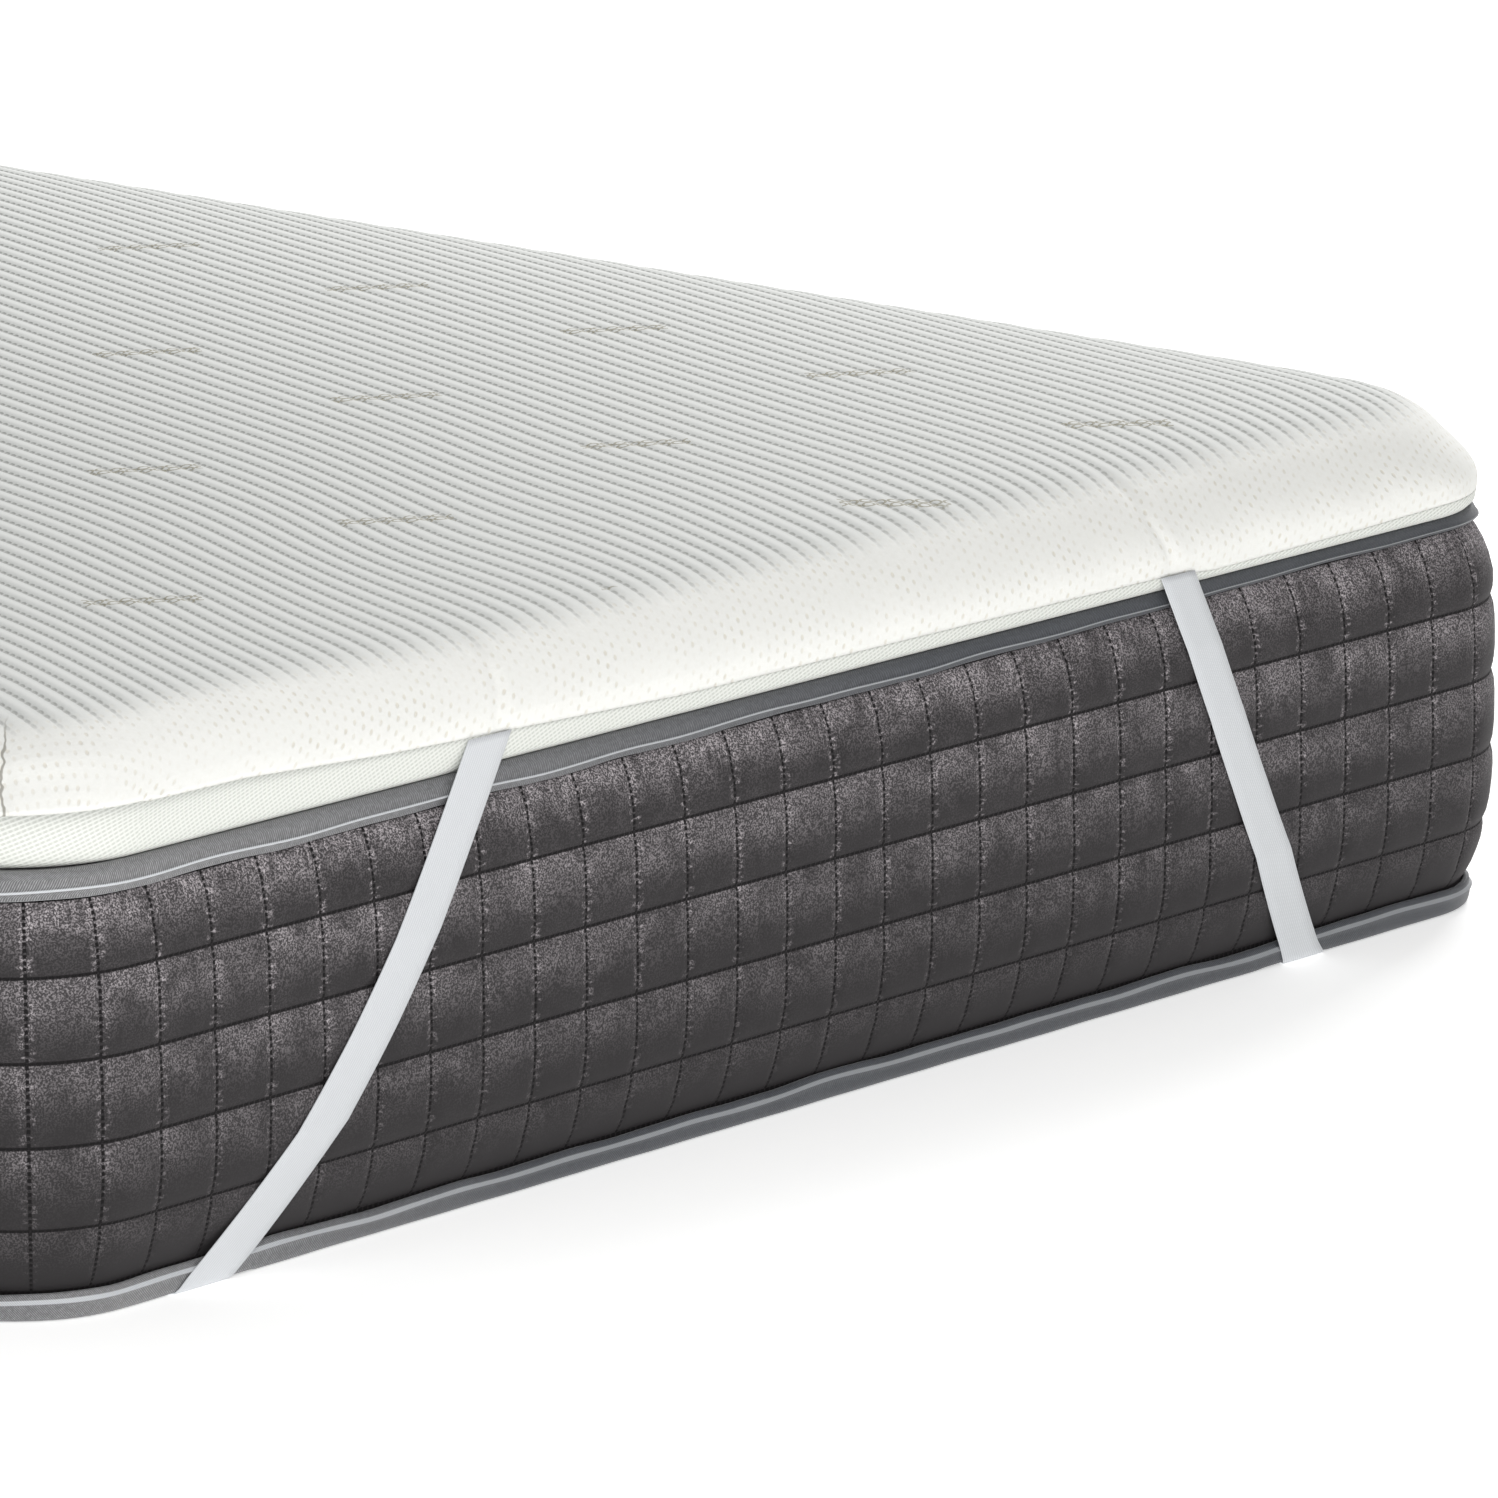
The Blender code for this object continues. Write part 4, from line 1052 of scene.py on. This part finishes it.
# Painted shade: the top is painted greyer than the side, though it is the same yarn
grey = add("Mix", {0: fuzz, 6: linear("#D2D4D1"), 7: linear("#E0E2DF")}, 2, data_type="RGBA")
colour = add("Mix", {0: ribbed, 6: white, 7: grey}, 2, data_type="RGBA")
# Painted highlight on the crests, painted shade in the furrows and dimples; the tie points, seam and leaves
# are the yarn's own colours
for mask, yarn in ((crest, "#E8E9E6"), (furrow, "#CFD0CD"), (dimple, "#B8B9B5"), (spot, "#E5E1D6"),
                   (sewn, "#8F8B80"), (motif, "#ACA898")):
    colour = add("Mix", {0: mask, 6: colour, 7: linear(yarn)}, 2, data_type="RGBA")
relief = add("Math", {0: dimple, 1: -1.0, 2: 0.5}, operation="MULTIPLY_ADD")
for part, height in ((spot, -0.5), (motif, 0.5), (fuzz, 0.3)):
    relief = add("Math", {0: part, 1: height, 2: relief}, operation="MULTIPLY_ADD")
finish(shader, colour, relief, 0.7, 0.0008)
dress(pad, knit)

# %% [markdown]
# Four elastics hold the topper down. Each is a flat band, 30 mm wide, sewn in at the seam of knit
# and mesh. It runs down the bed's end, turns under the corner and comes up the long side. It is
# stretched, so it takes the shortest line over the tapes and the quilted pillows, and on the flat
# of the side it leans more as it falls, towards the corner that pulls it.

# %% Shape of a strap
STRAP_WIDTH = 0.030
STRAP_THICKNESS = 0.0012
STRAP_TURN = 0.022
CLEARANCE = 0.0004
STRAP_STEP = 0.004
LEFT_STRAP = {"top": 0.380, "bottom": 0.163, "lean": 0.66, "foot_lean": 1.15}
RIGHT_STRAP = {"top": 0.361, "bottom": 0.235, "lean": 0.37, "foot_lean": 0.66}
TAPE_OUTSIDE = [(0.0101, 0.0005), (0.0076, 0.0040), (0.0066, 0.0115)]
FOOT_EDGE = (0.0090, GROOVE_DEPTH)


def taut_line(points):
    """The convex line that a taut band takes over (inset, z) points, from the top down."""
    line = []
    for point in sorted(points, key=lambda p: -p[1]):
        while len(line) > 1:
            (d0, z0), (d1, z1) = line[-2], line[-1]
            if (d1 - d0) * (point[1] - z0) - (z1 - z0) * (point[0] - d0) > 0:
                break
            line.pop()
        line.append(point)
    return line


def strap_section(seam, narrow):
    """Inside line of a strap down the side, as rows of inset and z a few millimetres apart."""
    obstacles = [(float(side_inset(seam * k)), TOPPER_BASE + seam * k) for k in (1.0, 0.75, 0.5, 0.25)]
    obstacles += [(d + DRAW_IN * narrow, MATTRESS_TOP - drop * (1 - narrow)) for d, drop in TAPE_OUTSIDE]
    middles = (SEAM_LEVELS[1:] + SEAM_LEVELS[:-1]) / 2
    insets = border_inset(middles)
    insets[-1] -= TOP_ROW_BULGE * narrow
    obstacles += list(zip(insets.tolist(), middles.tolist()))
    obstacles += [(d + BOTTOM_TAPE_SHIFT, drop) for d, drop in TAPE_OUTSIDE[1:]]
    obstacles.append((FOOT_EDGE[0] + BOTTOM_TAPE_SHIFT, FOOT_EDGE[1]))
    line = [(d - CLEARANCE, z) for d, z in taut_line(obstacles)]
    foot = GROOVE_DEPTH - CLEARANCE
    line[-1] = (line[-1][0], foot)
    line.append((STRAP_TURN, foot))
    line = np.array(line)
    way = np.append(0, np.cumsum(np.linalg.norm(np.diff(line, axis=0), axis=1)))
    stops = np.unique(np.round(np.concatenate([way, np.arange(0, way[-1], STRAP_STEP)]), 6))
    rows = np.stack([np.interp(stops, way, line[:, 0]), np.interp(stops, way, line[:, 1])], -1)
    return rows, stops


def strap_centre(shape, t, foot_run, end_run):
    """Distance from the bed's corner at run t down the side; the band leans more as it falls."""
    end = shape["bottom"] - (end_run - foot_run) * (shape["foot_lean"] + 1.0) / 2
    low = t > foot_run
    t0, t1 = np.where(low, foot_run, 0.0), np.where(low, end_run, foot_run)
    p0, p1 = np.where(low, shape["bottom"], shape["top"]), np.where(low, end, shape["bottom"])
    m0, m1 = np.where(low, -shape["foot_lean"], -shape["lean"]), np.where(low, -1.0, -shape["foot_lean"])
    u, span = (t - t0) / (t1 - t0), t1 - t0
    return ((2 * u**3 - 3 * u**2 + 1) * p0 + (u**3 - 2 * u**2 + u) * span * m0
            + (3 * u**2 - 2 * u**3) * p1 + (u**3 - u**2) * span * m1)


def strap_side(shape, run):
    """Rows on one side: near and far distance from the corner, with inside and outside (inset, z)."""
    inside, way = strap_section(float(seam_height(run)), float(1 - tape_share(run)))
    foot_run = way[np.argmax(inside[:, 1] < TAPE_OUTSIDE[-1][1])]
    centre = strap_centre(shape, way, foot_run, way[-1])
    lean = np.gradient(centre, way)
    lean[-1] = -1.0
    half = STRAP_WIDTH / 2 * np.hypot(1.0, lean)
    along = np.gradient(inside, way, axis=0)
    along /= np.linalg.norm(along, axis=1)[:, None]
    outside = inside + STRAP_THICKNESS * np.stack([along[:, 1], -along[:, 0]], -1)
    return centre, half, inside, outside


print("strap down one side:", round(float(strap_section(0.02, 0.0)[1][-1]), 3), "m")

# %% [markdown]
# A strap's section is a flat oval of twelve points, so its woven edges are soft and not sharp. The
# section is carried along the band as rings of points, and the way along the band is its map.

# %% Make the four straps
SECTION_ACROSS = [(-1.0, 0.5), (-0.97, 0.08), (-0.5, 0.0), (0.0, 0.0), (0.5, 0.0), (0.97, 0.08),
                  (1.0, 0.5), (0.97, 0.92), (0.5, 1.0), (0.0, 1.0), (-0.5, 1.0), (-0.97, 0.92)]


def side_sections(shape, run, corner, along_x):
    centre, half, inside, outside = strap_side(shape, run)
    sections = []
    for across, out in SECTION_ACROSS:
        distance = centre + half * across
        inset, z = (inside * (1 - out) + outside * out).T
        x, y = (distance, inset) if along_x else (inset, distance)
        sections.append(np.stack([corner[0] * (WIDTH / 2 - x), corner[1] * (LENGTH / 2 - y), z], -1))
    return np.stack(sections, 1)


def make_strap(name, shape, corner, end_run, long_run):
    end_part = side_sections(shape, end_run, corner, True)
    long_part = side_sections(shape, long_run, corner, False)
    steps = np.linspace(0, 1, 8)[1:-1, None, None]
    under = end_part[-1] * (1 - steps) + long_part[-1] * steps
    sections = np.concatenate([end_part, under, long_part[::-1]])
    way = np.append(0, np.cumsum(np.linalg.norm(np.diff(sections.mean(axis=1), axis=0), axis=1)))
    rows, around = sections.shape[:2]
    faces, corners = [], []
    reach = [a * STRAP_WIDTH / 2 for a, _ in SECTION_ACROSS]
    for r in range(rows - 1):
        for c in range(around):
            after = (c + 1) % around
            low, high = r * around, (r + 1) * around
            faces.append((low + c, low + after, high + after, high + c))
            corners += [(reach[i], way[row]) for i, row in ((c, r), (after, r), (after, r + 1), (c, r + 1))]
    faces.append(tuple(range(around))[::-1])
    faces.append(tuple((rows - 1) * around + c for c in range(around)))
    corners += [(reach[c], way[0]) for c in range(around)][::-1]
    corners += [(reach[c], way[-1]) for c in range(around)]
    strap = make_mesh(name, sections.reshape(-1, 3), faces, {"band": corners})
    if corner[0] * corner[1] > 0:
        strap.data.flip_normals()
    return strap, float(way[-1])


straps = []
for side, name, shape, corner in ((0, "front_left", LEFT_STRAP, (-1, -1)),
                                  (1, "front_right", RIGHT_STRAP, (1, -1)),
                                  (2, "back_right", RIGHT_STRAP, (1, 1)),
                                  (3, "back_left", LEFT_STRAP, (-1, 1))):
    runs = [run_on(side, shape["top"]), run_on(side - 1, (LENGTH, WIDTH)[side % 2] - shape["top"])]
    strap, length = make_strap("elastic_" + name, shape, corner, *(runs[::-1] if side % 2 else runs))
    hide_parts("strap_" + name)
    straps.append(strap)
    print(strap.name, "is", round(length, 3), "m long")

# %% [markdown]
# White woven elastic: rubber cords run along the band under a smooth polyester weave, so it shows
# fine lengthwise lines, 1.6 mm apart, and a faint blue-white shine.

# %% Elastic
CORD_PITCH = 0.0016
PICK_PITCH = 0.0012
elastic, shader, add = new_material("white woven elastic", {"Roughness": 0.5, "Sheen Weight": 0.1})
cloth = add("UVMap", {}, uv_map="band")
threads = []
for axis, pitch in ((0, CORD_PITCH), (1, PICK_PITCH)):
    part = add("SeparateXYZ", {0: cloth}, axis)
    part = add("Math", {0: part, 1: 2 * math.pi / pitch}, operation="MULTIPLY")
    threads.append(add("Math", {0: part}, operation="SINE"))
weave = add("Math", {0: threads[1], 1: 0.3, 2: threads[0]}, operation="MULTIPLY_ADD")
weave = add("MapRange", {0: weave, 1: -1.3, 2: 1.3})
colour = add("Mix", {0: weave, 6: linear("#C9CCCF"), 7: linear("#DDDFE2")}, 2, data_type="RGBA")
finish(shader, colour, weave, 0.4, 0.0003)
for strap in straps:
    dress(strap, elastic)
